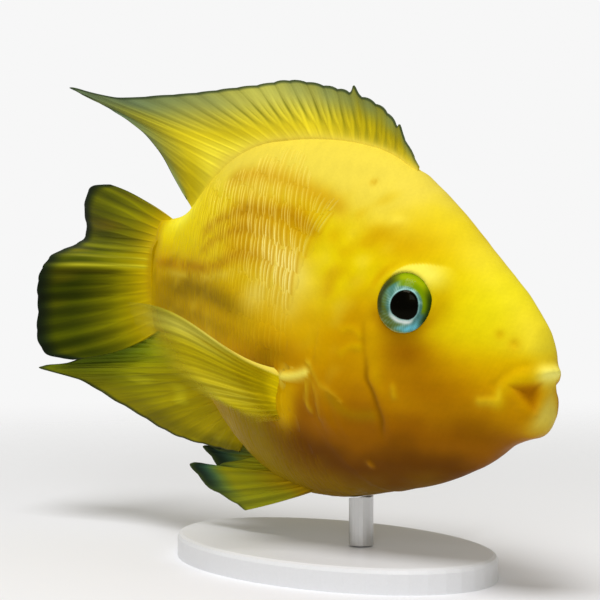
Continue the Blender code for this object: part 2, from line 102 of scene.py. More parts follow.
print(f"the fish is lifted {LIFT * 1000:.1f} mm")

# %% [markdown]
# ## Curves through a few measured points
# Most outlines here are given by a handful of points. A cubic curve through
# them, whose slope at each point is that between its neighbours, gives a smooth
# line without a curve object. The same function reads all columns at once.


# %% Smooth curves and soft steps
def smooth_curve(at, xs, ys):
    """Cubic through (xs, ys): ends weighted by (1+2t)(1-t)^2, slopes by t(1-t)^2."""
    xs, ys = np.asarray(xs, float), np.asarray(ys, float)
    slopes = np.gradient(ys, xs, axis=0)
    at = np.clip(at, xs[0], xs[-1])
    piece = np.clip(np.searchsorted(xs, at) - 1, 0, len(xs) - 2)
    span = xs[piece + 1] - xs[piece]
    t = (at - xs[piece]) / span
    if ys.ndim > 1:
        t, span = t[..., None], span[..., None]
    return (ys[piece] * (1 + 2 * t) * (1 - t) ** 2 + slopes[piece] * span * t * (1 - t) ** 2
            + ys[piece + 1] * t * t * (3 - 2 * t) - slopes[piece + 1] * span * t * t * (1 - t))


def soft_step(x, low, high):
    """0 below low and 1 above high, with 3t^2 - 2t^3 between them."""
    t = np.clip((np.asarray(x, float) - low) / (high - low), 0, 1)
    return t * t * (3 - 2 * t)


def bump(distance, width):
    """Bell curve: e to the minus of (distance over width) squared."""
    return np.exp(-(distance / width) ** 2)


print("half way up a soft step:", soft_step(0.5, 0, 1))

# %% [markdown]
# ## Smooth noise without an image
# Skin is never quite even. A sum of sine waves in fixed, seeded directions is a
# cheap, repeatable wobble, and it can be read at any point in space.


# %% Seeded wobble
def wobble(points, size, seed):
    """Sum of six sines, each along a seeded direction, with waves about `size` long."""
    draw = np.random.RandomState(seed)
    ways = draw.normal(size=(6, 3))
    ways *= 2 * math.pi / (size * np.linalg.norm(ways, axis=1, keepdims=True))
    phases = draw.uniform(0, 2 * math.pi, 6)
    return np.sin(points @ ways.T + phases).sum(axis=-1) / 6


print("wobble at the origin:", round(float(wobble(np.zeros(3), 0.01, 1)), 3))

# %% [markdown]
# ## The body's cross sections
# A cichlid's body is a row of egg-shaped sections. Each station gives the top,
# the bottom, the half width, the height of the widest line and how sharp the
# back and the belly are. Between stations the values follow smooth curves. The
# nose and the end of the stalk close like the end of an egg.

# %% Body stations
STATIONS = np.array((
    (0.006, 0.053, -0.096, 0.034, -0.035, 0.90, 0.76),
    (0.050, 0.100, -0.104, 0.051, -0.030, 0.90, 0.80),
    (0.080, 0.127, -0.118, 0.063, -0.026, 0.90, 0.88),
    (0.120, 0.156, -0.149, 0.078, -0.024, 0.92, 1.00),
    (0.170, 0.192, -0.178, 0.094, -0.022, 0.93, 1.00),
    (0.230, 0.236, -0.205, 0.111, -0.022, 0.95, 1.00),
    (0.300, 0.284, -0.228, 0.128, -0.022, 1.02, 1.00),
    (0.370, 0.318, -0.250, 0.142, -0.020, 1.12, 1.00),
    (0.450, 0.333, -0.269, 0.150, -0.015, 1.20, 1.02),
    (0.530, 0.336, -0.272, 0.150, -0.005, 1.26, 1.06),
    (0.620, 0.331, -0.253, 0.138, 0.005, 1.28, 1.12),
    (0.700, 0.318, -0.214, 0.116, 0.015, 1.28, 1.16),
    (0.780, 0.286, -0.160, 0.088, 0.028, 1.26, 1.18),
    (0.840, 0.238, -0.118, 0.068, 0.040, 1.20, 1.16),
    (0.890, 0.186, -0.085, 0.052, 0.048, 1.10, 1.10),
    (0.940, 0.164, -0.062, 0.040, 0.050, 1.00, 1.00),
    (1.000, 0.156, -0.048, 0.020, 0.050, 1.00, 1.00),
))
NOSE_ROUND, TAIL_ROUND, TAIL_TAPER, CHIN_BLUNTNESS = 0.026, 0.020, 0.075, 0.40
START, END = STATIONS[0, 0], STATIONS[-1, 0]


def body_point(back, angle):
    """Point of the plain body: sine of the angle across, cosine of it up or down."""
    top, bottom, half, widest, ridge, keel = np.moveaxis(
        smooth_curve(back, STATIONS[:, 0], STATIONS[:, 1:]), -1, 0)
    nose = np.clip((back - START) / NOSE_ROUND, 0, 1)
    tail = np.clip((END - back) / TAIL_ROUND, 0, 1)
    nose, tail = np.sqrt(1 - (1 - nose) ** 2), np.sqrt(1 - (1 - tail) ** 2)
    taper = np.clip((END - back) / TAIL_TAPER, 0, 1)
    closing, narrowing = nose * tail, nose * np.sqrt(1 - (1 - taper) ** 2)
    up, down = (top - widest) * closing, (widest - bottom) * closing ** CHIN_BLUNTNESS
    c, s = np.cos(angle), np.sin(angle)
    side = half * narrowing * np.sign(s) * np.abs(s) ** np.where(c > 0, ridge, keel)
    return place(back, side, widest + np.where(c > 0, up, down) * c)


print("widest half:", body_point(np.array(0.5), np.array(math.pi / 2)).round(4))

# %% [markdown]
# ## Relief of the skin
# Folds, lips and the gill covers are all raised or sunk in one closed surface,
# so no seam can show. Each form below returns a height in metres over the plain
# body. First the mouth: the lips are rolls along a path, the mouth opening is
# the wedge between them, and the upper lip's end runs on down as a fold.

# %% Paths of the lips
UPPER_LIP = np.array((
    (0.006, 0.000, 0.012), (0.008, 0.012, 0.011), (0.013, 0.029, 0.007),
    (0.025, 0.038, 0.003), (0.038, 0.047, -0.002), (0.048, 0.055, -0.011),
    (0.056, 0.060, -0.025), (0.062, 0.059, -0.042),
))
LOWER_LIP = np.array((
    (0.007, 0.000, -0.022), (0.008, 0.014, -0.032), (0.013, 0.026, -0.055),
    (0.024, 0.039, -0.046), (0.036, 0.050, -0.030),
))
LIP_CREASE = np.array((
    (0.030, 0.038, 0.020), (0.042, 0.045, 0.014), (0.057, 0.053, 0.000), (0.070, 0.059, -0.016),
))
LIP_FLAP = np.array((
    (0.062, 0.061, -0.038), (0.070, 0.061, -0.040), (0.079, 0.062, -0.041), (0.090, 0.066, -0.043),
))


def along(path, count=60):
    """Evenly numbered points of the smooth line through a path."""
    at = np.linspace(0, 1, len(path))
    return smooth_curve(np.linspace(0, 1, count), at, path)


def mirrored(points):
    """The same places with the right side turned over to the left."""
    return np.stack((points[..., 0], np.abs(points[..., 1]), points[..., 2]), axis=-1)


def nearest(points, path):
    """Distance to a path in lengths, and how far along it, from 0 to 1."""
    line = along(path)
    far = np.linalg.norm(mirrored(points)[..., None, :] - line, axis=-1)
    return far.min(axis=-1), far.argmin(axis=-1) / (len(line) - 1)


print("the upper lip ends at", along(UPPER_LIP)[-1])

# %% The mouth
GAPE_CORNER = np.array((0.042, 0.055, -0.0125))
GAPE_DIP = np.array((0.011, 0.025, -0.0520))
GAPE_TOP = np.array((0.008, 0.019, -0.0060))
GAPE_DEEP = np.array((0.056, 0.000, -0.024))


def inside_gape(points):
    """Least distance to the three planes through the deep point and the opening's edges."""
    corners = (GAPE_CORNER, GAPE_DIP, GAPE_TOP)
    middle = sum(corners) / 3
    least = np.full(points.shape[:-1], 1.0)
    for first, second in zip(corners, corners[1:] + corners[:1]):
        normal = np.cross(first - GAPE_DEEP, second - GAPE_DEEP)
        normal /= np.linalg.norm(normal)
        normal *= np.sign((middle - GAPE_DEEP) @ normal)
        least = np.minimum(least, (mirrored(points) - GAPE_DEEP) @ normal)
    return least


def mouth_relief(points):
    """Rolls on both lips, the sunk opening and the crease over the upper lip."""
    far_up, up = nearest(points, UPPER_LIP)
    far_low, low_at = nearest(points, LOWER_LIP)
    beak = soft_step(up, 0.34, 0.06)
    upper = (0.00036 + 0.00104 * beak) * bump(far_up, 0.0100 - 0.0018 * beak)
    lower = (0.00034 - 0.0001 * low_at) * bump(far_low, 0.0100)
    chin = -0.00050 * bump(np.linalg.norm(points - (0.016, 0.000, -0.100), axis=-1), 0.026)
    chin = chin + 0.00026 * bump(np.linalg.norm(points - (0.008, 0.000, -0.068), axis=-1), 0.024)
    opening = -0.0009 * soft_step(inside_gape(points), -0.0040, 0.0120)
    far_crease, crease_at = nearest(points, LIP_CREASE)
    crease = -0.00024 * bump(far_crease, 0.0070)
    far_flap, flap_at = nearest(points, LIP_FLAP)
    flap = 0.00026 * bump(far_flap, 0.0065)
    return upper + lower + chin + opening + crease + flap


print("the opening's middle is inside:",
      inside_gape((GAPE_CORNER + GAPE_DIP + GAPE_TOP) / 3) > 0)

# %% [markdown]
# ## Gill covers, cheek lines and nostrils
# The gill cover is a bony flap whose free edge lies over the trunk like a step.
# Ahead of it a soft groove marks the edge of the cheek bone. Both are lines
# that give a back value for each height, so the distance to them is a
# subtraction.

# %% Lines of the head
GILL_EDGE = np.array((
    (-0.250, 0.290), (-0.215, 0.318), (-0.165, 0.352), (-0.110, 0.378), (-0.050, 0.390),
    (0.020, 0.384), (0.090, 0.380), (0.140, 0.374), (0.175, 0.352), (0.200, 0.320),
))
CHEEK_LINE = np.array((
    (-0.150, 0.268), (-0.117, 0.262), (-0.100, 0.259), (-0.074, 0.265), (-0.050, 0.274),
    (-0.035, 0.283), (-0.012, 0.286), (0.017, 0.293), (0.037, 0.296), (0.080, 0.298),
))
NOSTRIL = np.array((0.051, 0.041, 0.050))
PORE = np.array((0.074, 0.049, 0.062))


def behind(line, back, height):
    """How far a place lies behind a line, in lengths."""
    return back - smooth_curve(height, line[:, 0], line[:, 1])


FOLDS = (
    (((0.400, 0.146, -0.021), (0.385, 0.147, -0.036), (0.367, 0.144, -0.056),
      (0.349, 0.140, -0.063), (0.330, 0.134, -0.078)), 0.00046, 0.0040, 1),
    (((0.398, 0.146, -0.042), (0.403, 0.143, -0.068), (0.405, 0.140, -0.085),
      (0.398, 0.136, -0.101)), 0.00042, 0.0040, 1),
    (((0.388, 0.146, -0.050), (0.378, 0.143, -0.074), (0.378, 0.140, -0.091),
      (0.379, 0.136, -0.109)), 0.00046, 0.0036, 1),
    (((0.404, 0.145, -0.039), (0.421, 0.146, -0.046), (0.437, 0.147, -0.050),
      (0.456, 0.148, -0.053)), 0.00085, 0.0085, 0.3),
    (((0.444, 0.145, -0.071), (0.453, 0.142, -0.091), (0.456, 0.138, -0.110)), 0.00050, 0.0190, 1),
    (((0.335, 0.137, 0.039), (0.321, 0.134, 0.044), (0.308, 0.132, 0.041),
      (0.300, 0.130, 0.034)), 0.00030, 0.0055, 1),
    (((0.333, 0.139, 0.002), (0.317, 0.135, 0.014), (0.299, 0.129, 0.016)), 0.00030, 0.0060, 1),
    (((0.352, 0.139, -0.070), (0.329, 0.131, -0.090), (0.308, 0.125, -0.096),
      (0.274, 0.115, -0.091)), 0.00016, 0.0100, 1),
    (((0.236, 0.110, -0.040), (0.233, 0.111, -0.054)), 0.00022, 0.0060, 1),
    (((0.302, 0.088, -0.178), (0.301, 0.086, -0.182)), 0.00030, 0.0060, 1),
)


def fold_relief(points):
    """Soft rolls along the folds at the pectoral fin's root and on the gill cover."""
    total = np.zeros(points.shape[:-1])
    near = (points[..., 0] > 0.14) & (points[..., 0] < 0.50)
    for path, height, width, first in FOLDS:
        far, at = nearest(points[near], np.array(path))
        total[near] += height * (first + (1 - first) * at) * bump(far, width)
    return total


def head_relief(points):
    """Step at the gill cover's edge, grooves on the cheek, nostrils and small folds."""
    back, side, height = np.moveaxis(points, -1, 0)
    flank = soft_step(np.abs(side), 0.012, 0.05)
    edge = behind(GILL_EDGE, back, height)
    shown = (0.35 + 0.65 * soft_step(height, 0.06, -0.01)) * soft_step(height, 0.190, 0.130)
    shown = shown * soft_step(height, -0.150, -0.105)
    cover = 0.00050 * (1 - soft_step(edge, -0.003, 0.004)) * soft_step(edge, -0.085, -0.010)
    slit = -0.00035 * bump(edge - 0.0045, 0.0045)
    fringe = 0.00018 * np.sin(edge * 260) * bump(edge + 0.022, 0.016)
    cheek = behind(CHEEK_LINE, back, height)
    there = soft_step(height, 0.070, 0.040) * soft_step(height, -0.135, -0.105)
    there = there * (0.40 + 0.60 * soft_step(height, 0.005, -0.035))
    groove = (-0.00024 * bump(cheek, 0.0048) + 0.00016 * bump(cheek + 0.015, 0.012)
              + 0.00008 * bump(cheek - 0.014, 0.010)) * there
    hole = np.linalg.norm(mirrored(points) - NOSTRIL, axis=-1)
    pore = np.linalg.norm(mirrored(points) - PORE, axis=-1)
    nostril = -0.00030 * bump(hole, 0.0065) - 0.00010 * bump(pore, 0.0060)
    return ((cover + slit + fringe) * shown + groove) * flank + nostril + fold_relief(points)


print("gill cover edge at mid height:", round(float(smooth_curve(0.0, *GILL_EDGE.T)), 3))

# %% [markdown]
# ## Round the eye
# The eye bulges from a ring of skin, and a fold like a brow hangs over its
# upper front edge. Distances are taken from the eye's own axis, which looks
# outward, a little forward and up, so the ring stays round on the curved cheek.

# %% Eye measures and orbit
EYE_RADIUS, EYE_HALF_DEPTH = 0.0059, 0.0044
EYE_FORWARD, EYE_UPWARD = math.radians(22.0), math.radians(8.0)
ORBIT_RADIUS, ORBIT_SWELL = 0.062, 0.010
EYE_OUT = np.array((math.sin(EYE_FORWARD) * math.cos(EYE_UPWARD),
                    math.cos(EYE_FORWARD) * math.cos(EYE_UPWARD), math.sin(EYE_UPWARD)))
EYE_ACROSS = np.cross((0, 0, 1), EYE_OUT)
EYE_ACROSS /= np.linalg.norm(EYE_ACROSS)
EYE_UP = np.cross(EYE_OUT, EYE_ACROSS)


def eye_places(metres):
    """Coordinates across, up and out from the eye's centre, the right side mirrored."""
    away = mirrored(metres) - place(*EYE)
    return away @ EYE_ACROSS, away @ EYE_UP, away @ EYE_OUT


LID_TURNS = (20, 43, 54, 76, 97, 116, 142, 165)
LID_REACH = (2.10, 1.83, 1.59, 1.32, 1.19, 1.06, 1.00, 1.00)


def lid_share(across, up):
    """1 on the fold over the eye, from its rim out to a crisp edge at a reach for each turn."""
    turn = np.degrees(np.arctan2(up, -across))
    reach = smooth_curve(turn, LID_TURNS, LID_REACH)
    radius = np.hypot(across, up) / EYE_RADIUS
    ends = soft_step(turn, 12, 50) * soft_step(turn, 136, 114)
    return soft_step(radius, reach + 0.05, reach - 0.05) * ends


def brow(across, up):
    """1 over the eye's upper front, where the skin folds, and 0 elsewhere."""
    turn = np.arctan2(up, -across)
    return soft_step(np.cos(turn - math.radians(85)), 0.20, 0.95)


def orbit_relief(metres):
    """Wide swelling, the fold over the eye and the sunk socket."""
    across, up, out = eye_places(metres)
    flat = metres * (1, 0, 1) - place(EYE[0], 0, EYE[2])
    distance = np.linalg.norm(flat, axis=-1) / (ORBIT_RADIUS * LENGTH)
    flank = np.clip(np.abs(metres[..., 1]) / (EYE[1] * LENGTH), 0, 1)
    swell = ORBIT_SWELL * LENGTH * bump(distance, 1) * flank
    radius = np.hypot(across, up)
    near = soft_step(out, -0.006, -0.002)
    fold = brow(across, up)
    rim = 0.00006 * bump(radius - 1.10 * EYE_RADIUS, 0.0014) * (1 - fold)
    thin = soft_step(radius / EYE_RADIUS, 2.0, 1.1)
    lid = lid_share(across, up) * 0.00050 * thin
    lid = lid + fold * 0.00060 * bump(radius - 1.03 * EYE_RADIUS, 0.0009)
    inner = (0.955 - 0.032 * np.cos(np.arctan2(up, -across) - math.radians(10))) * EYE_RADIUS
    socket = -0.0030 * soft_step(radius, inner, inner - 0.17 * EYE_RADIUS)
    return swell + (rim + lid + socket) * near


print("the eye looks along", EYE_OUT.round(2))

# %% [markdown]
# ## One closed skin
# Rings of points run round the body and are crowded where the face needs them.
# Each point is pushed out along the plain body's normal by the sum of the
# reliefs. Over the trunk the skin lies a little deeper, because the scales come
# on top of it.


# %% Skin at any place
def trunk_share(points):
    """0 on the head and 1 where scales cover the trunk."""
    back, side, height = np.moveaxis(points, -1, 0)
    edge = behind(GILL_EDGE, back, height)
    ahead = np.where(height > 0.19, back - (0.352 - 0.35 * (height - 0.19)), edge - 0.004)
    return soft_step(ahead, 0.0, 0.020)


COAT = 0.00024


def body_normal(back, angle):
    """Cross product of small steps round and along the plain body."""
    e = 1e-4
    wide = body_point(back, angle + e) - body_point(back, angle - e)
    onward = body_point(np.clip(back + e, START, END), angle)
    onward = onward - body_point(np.clip(back - e, START, END), angle)
    normal = np.cross(wide, onward)
    return normal / np.maximum(np.linalg.norm(normal, axis=-1, keepdims=True), 1e-12)


def skin_point(back, angle, lift=0.0):
    """Point of the skin: plain body plus its normal times relief, coat depth and lift."""
    plain = body_point(back, angle)
    normal = body_normal(back, angle)
    units = plain / LENGTH * (-1, 1, 1) + (0.5, 0, 0)
    height = head_relief(units) + mouth_relief(units) + orbit_relief(plain)
    height = height + 0.00010 * wobble(plain, 0.011, 3) + 0.00005 * wobble(plain, 0.004, 4)
    height = height - COAT * trunk_share(units) + lift
    return plain + normal * height[..., None], units


print("coat depth:", COAT * 1000, "mm")

# %% [markdown]
# ## From arrays to meshes
# Every piece is a grid of points. Its faces join neighbours in the grid, and a
# row whose points all share one number closes to a pole. A closed form whose
# faces point inward has a negative volume, so such faces are simply reversed.


# %% Making a mesh piece
def grid_faces(ids, ring=False):
    """Quads between neighbours in an array of point numbers, closed round if a ring."""
    if ring:
        ids = np.concatenate((ids, ids[:, :1]), axis=1)
    corners = (ids[:-1, :-1], ids[:-1, 1:], ids[1:, 1:], ids[1:, :-1])
    return np.stack(corners, axis=-1).reshape(-1, 4)


def outward(points, faces):
    """Faces of a closed form, reversed where six times its volume is negative."""
    a, b, c, d = (points[faces[:, corner]] for corner in range(4))
    volume = (a * np.cross(b, c)).sum() + (a * np.cross(c, d)).sum()
    return faces if volume > 0 else faces[:, ::-1]


def make_piece(name, points, faces, colours, look, takes=()):
    """Mesh object from arrays, with its markings as a colour attribute."""
    faces = outward(points, faces)
    first = faces[:, 0] == faces[:, 1]
    last = faces[:, 2] == faces[:, 3]
    rows = faces[~first & ~last].tolist() + faces[first, 1:].tolist() + faces[last, :3].tolist()
    mesh = bpy.data.meshes.new(name)
    mesh.from_pydata(posed(points).tolist(), [], rows)
    layer = mesh.color_attributes.new("Markings", "FLOAT_COLOR", "POINT")
    if colours.shape[1] == 3:
        colours = np.c_[colours, np.ones(len(points))]
    layer.data.foreach_set("color", colours.ravel())
    mesh.materials.append(look)
    mesh.shade_smooth()
    piece = bpy.data.objects.new(name, mesh)
    bpy.context.scene.collection.objects.link(piece)
    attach(piece, "root")
    if takes:
        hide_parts(*takes)
    print(f"{name}: {len(points)} points, {sum(len(row) - 2 for row in rows)} triangles")
    return piece


def add_map(piece, name, places):
    """UV map whose value at each corner is that of its point."""
    mesh = piece.data
    corners = np.zeros(len(mesh.loops), dtype=np.int32)
    mesh.loops.foreach_get("vertex_index", corners)
    layer = mesh.uv_layers.new(name=name)
    layer.data.foreach_set("uv", np.asarray(places, np.float32)[corners].ravel())


print("grid of 3 by 3 points has", len(grid_faces(np.arange(9).reshape(3, 3))), "faces")

# %% [markdown]
# ## Colours as paint
# Real skin shades softly from one yellow to another, so the colour at a place is mixed from broad,
# soft-edged patches, as a model painter would spray them. Some patches are painted light and shade: the
# paler back, the darker belly and a few highlights and shadows on the head, scales and fins. The same
# function colours the skin and every scale, so their markings always agree. Paints are written as screen
# colours and changed to light at the end.

# %% Paint helpers
def paint(red, green, blue):
    """A screen colour from 0 to 255 in each channel."""
    return np.array((red, green, blue)) / 255


def light(colour):
    """Screen colour to linear light: (c + 0.055) / 1.055 to the power 2.4."""
    colour = np.clip(colour, 0, 1)
    return np.where(colour < 0.04045, colour / 12.92, ((colour + 0.055) / 1.055) ** 2.4)


def toward(colour, other, share):
    """Mix of two colours by a share for each point."""
    return colour + (other - colour) * np.clip(share, 0, 1)[..., None]


def patch(units, back, height, wide, tall, turn=0.0):
    """Soft oval on the flank: e to the minus of its squared, scaled distance."""
    c, s = math.cos(math.radians(turn)), math.sin(math.radians(turn))
    b, h = units[..., 0] - back, units[..., 2] - height
    return np.exp(-((b * c + h * s) / wide) ** 2 - ((h * c - b * s) / tall) ** 2)


def stripe(units, places, wide, ramp=0.05):
    """Soft band that follows a line of height over back, and fades at both ends."""
    places = np.array(places)
    line = smooth_curve(units[..., 0], places[:, 0], places[:, 1])
    ends = soft_step(units[..., 0], places[0, 0], places[0, 0] + ramp)
    ends = ends * soft_step(units[..., 0], places[-1, 0], places[-1, 0] - ramp)
    return np.exp(-((units[..., 2] - line) / wide) ** 2) * ends


print("half grey in light:", round(float(light(np.array(0.5))), 3))

# %% Markings of the body
CREAM, LEMON, GOLD = paint(229, 208, 72), paint(228, 204, 6), paint(214, 168, 0)
AMBER, RUST, UMBER = paint(190, 134, 0), paint(152, 94, 0), paint(102, 58, 0)
OLIVE, PALE_TAN, MOSS = paint(138, 108, 0), paint(230, 206, 84), paint(132, 100, 10)
BANDS = (
    (((0.36, 0.217), (0.44, 0.243), (0.52, 0.258), (0.60, 0.267), (0.756, 0.250)), 0.016, 0.50,
     AMBER, 0.05),
    (((0.40, 0.175), (0.44, 0.189), (0.50, 0.208), (0.56, 0.210), (0.65, 0.202), (0.79, 0.145)),
     0.013, 0.70, AMBER * 0.9, 0.05),
    (((0.50, 0.168), (0.53, 0.174), (0.57, 0.177), (0.645, 0.170), (0.776, 0.117)), 0.009, 0.75,
     AMBER * 0.9, 0.05),
    (((0.46, 0.118), (0.527, 0.133), (0.577, 0.138), (0.693, 0.103), (0.887, 0.087),
      (0.99, 0.080)), 0.010, 0.70, AMBER * 0.92, 0.08),
    (((0.50, 0.112), (0.585, 0.108), (0.69, 0.085), (0.86, 0.070), (0.96, 0.066)), 0.006, 0.50,
     PALE_TAN, 0.10),
    (((0.50, 0.030), (0.598, 0.044), (0.678, 0.054), (0.877, 0.044), (0.97, 0.040)), 0.020, 0.85,
     OLIVE, 0.14),
    (((0.52, -0.004), (0.70, 0.006), (0.97, 0.000)), 0.012, 0.45, OLIVE, 0.14),
)


def body_paint(units):
    """Screen colour at places on the body, from the back down and patch by patch."""
    back, side, height = np.moveaxis(units, -1, 0)
    cloud = wobble(units, 0.075, 12) + 0.6 * wobble(units, 0.035, 13)
    level = height + 0.010 * np.sin(back * 23) + 0.015 * wobble(units, 0.16, 11) + 0.010 * cloud
    # Painted light and shade: paler toward the back and darker toward the belly, partly the fish's own
    # colours and partly the light from above painted in.
    colour = toward(LEMON * np.ones(units.shape), CREAM, soft_step(level, 0.17, 0.28))
    colour = toward(colour, GOLD, soft_step(level, 0.15, 0.04))
    colour = toward(colour, AMBER, soft_step(level, 0.03, -0.05))
    colour = toward(colour, RUST, soft_step(level, -0.05, -0.12))
    colour = toward(colour, UMBER, soft_step(level, -0.11, -0.18))
    colour = toward(colour, MOSS, 0.9 * soft_step(level, -0.17, -0.25))
    colour = toward(colour, paint(143, 118, 0), 0.90 * soft_step(back, 0.43, 0.56)
                    * soft_step(height, -0.04, -0.12))
    head = 1 - trunk_share(units)
    face = soft_step(back, 0.27, 0.15)
    colour = toward(colour, LEMON, 0.85 * face * soft_step(height, 0.005, 0.060))
    colour = toward(colour, paint(236, 220, 76), 0.55 * face * soft_step(np.abs(side), 0.07, 0.02)
                    * soft_step(height, 0.020, 0.050))
    colour = toward(colour, paint(230, 219, 18), 0.60 * patch(units, 0.100, 0.105, 0.052, 0.060))
    colour = toward(colour, RUST, 0.80 * patch(units, 0.215, 0.018, 0.050, 0.028))
    colour = toward(colour, RUST, 0.55 * patch(units, 0.175, -0.035, 0.070, 0.040, 20) * head)
    colour = toward(colour, UMBER, 0.35 * patch(units, 0.100, -0.095, 0.050, 0.030))
    colour = toward(colour, AMBER, 0.70 * patch(units, 0.330, -0.010, 0.045, 0.070))
    colour = toward(colour, RUST, 0.75 * patch(units, 0.305, -0.100, 0.050, 0.046))
    colour = toward(colour, AMBER, 0.60 * patch(units, 0.328, 0.068, 0.034, 0.034))
    colour = toward(colour, LEMON, 0.85 * patch(units, 0.360, 0.130, 0.040, 0.060))
    colour = toward(colour, paint(206, 156, 0), 0.65 * patch(units, 0.262, 0.184, 0.070, 0.034, 10))
    # Painted highlight: a paler cream sheen on the forehead, where the light from above falls.
    colour = toward(colour, CREAM, 0.50 * patch(units, 0.310, 0.225, 0.060, 0.020, 20))
    mottle = wobble(units * (1.0, 0.4, 1.0), 0.050, 41) * patch(units, 0.345, 0.165, 0.085, 0.080)
    colour = toward(colour, paint(204, 158, 0), 0.50 * soft_step(mottle, 0.02, 0.45))
    colour = toward(colour, paint(246, 224, 70), 0.35 * soft_step(mottle, -0.02, -0.45))
    colour = toward(colour, paint(206, 160, 0), 0.55 * patch(units, 0.307, 0.197, 0.026, 0.012, 15))
    colour = toward(colour, paint(212, 172, 0), 0.40 * patch(units, 0.392, 0.186, 0.022, 0.018))
    colour = toward(colour, paint(250, 230, 80), 0.50 * patch(units, 0.287, 0.220, 0.016, 0.008))
    colour = toward(colour, paint(196, 160, 0), 0.70 * patch(units, 0.172, 0.098, 0.018, 0.034, -10))
    blotch = patch(units, 0.360, 0.080, 0.060, 0.110)
    colour = toward(colour, AMBER, 0.50 * blotch * soft_step(cloud, -0.1, 1.0))
    colour = toward(colour, CREAM, 0.45 * blotch * soft_step(cloud, 0.0, -0.9))
    colour = toward(colour, AMBER, 0.62 * soft_step(back, 0.41, 0.48) * soft_step(back, 0.72, 0.62)
                    * soft_step(height, 0.26, 0.20) * soft_step(height, 0.08, 0.14))
    rear = soft_step(back, 0.52, 0.80) * soft_step(height, 0.14, 0.06)
    drawn = wobble(units * (0.22, 1.0, 1.0), 0.024, 14)
    colour = toward(colour, paint(196, 158, 4), 0.75 * rear)
    for places, wide, share, other, ramp in BANDS:
        colour = toward(colour, other, share * stripe(units, places, wide, ramp))
    colour = toward(colour, OLIVE, 0.45 * rear * soft_step(drawn, 0.0, 0.9))
    colour = toward(colour, PALE_TAN, 0.32 * rear * soft_step(drawn, 0.0, -0.9))
    colour = toward(colour, PALE_TAN, 0.85 * patch(units, 0.540, 0.075, 0.045, 0.030, -30))
    colour = toward(colour, PALE_TAN, 0.70 * patch(units, 0.465, 0.095, 0.050, 0.055))
    colour = toward(colour, paint(250, 232, 116), 0.80 * patch(units, 0.490, 0.132, 0.080, 0.030, 24))
    colour = toward(colour, PALE_TAN, 0.35 * patch(units, 0.455, 0.060, 0.026, 0.020))
    colour = toward(colour, paint(206, 168, 12), 0.55 * patch(units, 0.548, 0.012, 0.036, 0.022))
    colour = toward(colour, paint(150, 118, 0), 0.55 * patch(units, 0.900, 0.015, 0.060, 0.030))
    # Painted shadow: a darker patch on the flank just above the pectoral fin's root.
    colour = toward(colour, paint(150, 112, 0), 0.75 * patch(units, 0.488, -0.022, 0.040, 0.022))
    # Painted highlight: bright yellow on the top of the tail stalk, where the light from above falls.
    colour = toward(colour, paint(246, 238, 66), 0.95 * patch(units, 0.885, 0.172, 0.060, 0.022, -20))
    colour = toward(colour, AMBER, 0.50 * patch(units, 0.361, 0.276, 0.006, 0.005))
    colour = toward(colour, paint(194, 160, 0), 0.85 * soft_step(back, 0.935, 0.985))
    rim = patch(units, 0.460, -0.100, 0.021, 0.042, 12) * soft_step(np.abs(side), 0.10, 0.13)
    colour = toward(colour, paint(222, 186, 0), 0.90 * rim)
    folds, share = folds_paint(units)
    colour = toward(colour, folds, share)
    cheek = behind(CHEEK_LINE, back, height) + 0 * side
    there = soft_step(height, 0.07, 0.03) * soft_step(height, -0.14, -0.10)
    there = there * (0.35 + 0.65 * soft_step(height, 0.005, -0.035))
    # Painted shade: a dark line in the cheek groove, where shade falls.
    colour = toward(colour, paint(118, 76, 0), 0.55 * there * bump(cheek, 0.0050))
    colour = toward(colour, paint(212, 176, 0), 0.45 * there * bump(cheek + 0.018, 0.013)
                    * soft_step(height, -0.07, -0.01))
    across, up, out = eye_places(place(back, side, height))
    radius = np.hypot(across, up) / EYE_RADIUS
    near = soft_step(out, -0.006, -0.002)
    # Painted shadow: darker gold in the crease just beyond the fold over the eye.
    crease = bump(radius - 1.32, 0.14) * soft_step(-across, -0.001, -0.006) * soft_step(up, 0.001, 0.004)
    colour = toward(colour, paint(204, 158, 0), 0.60 * crease * near)
    # Painted highlight: pale yellow on the fold over the eye, where it catches the light from above.
    lid = lid_share(across, up) * soft_step(radius, 2.10, 1.20) * near
    colour = toward(colour, paint(240, 228, 88), 0.92 * lid)
    shade = bump(radius - 1.0, 0.28) * soft_step(-up, -0.002, 0.004) * soft_step(out, -0.006, -0.002)
    colour = toward(colour, RUST, 0.45 * shade)
    return face_paint(units, colour)


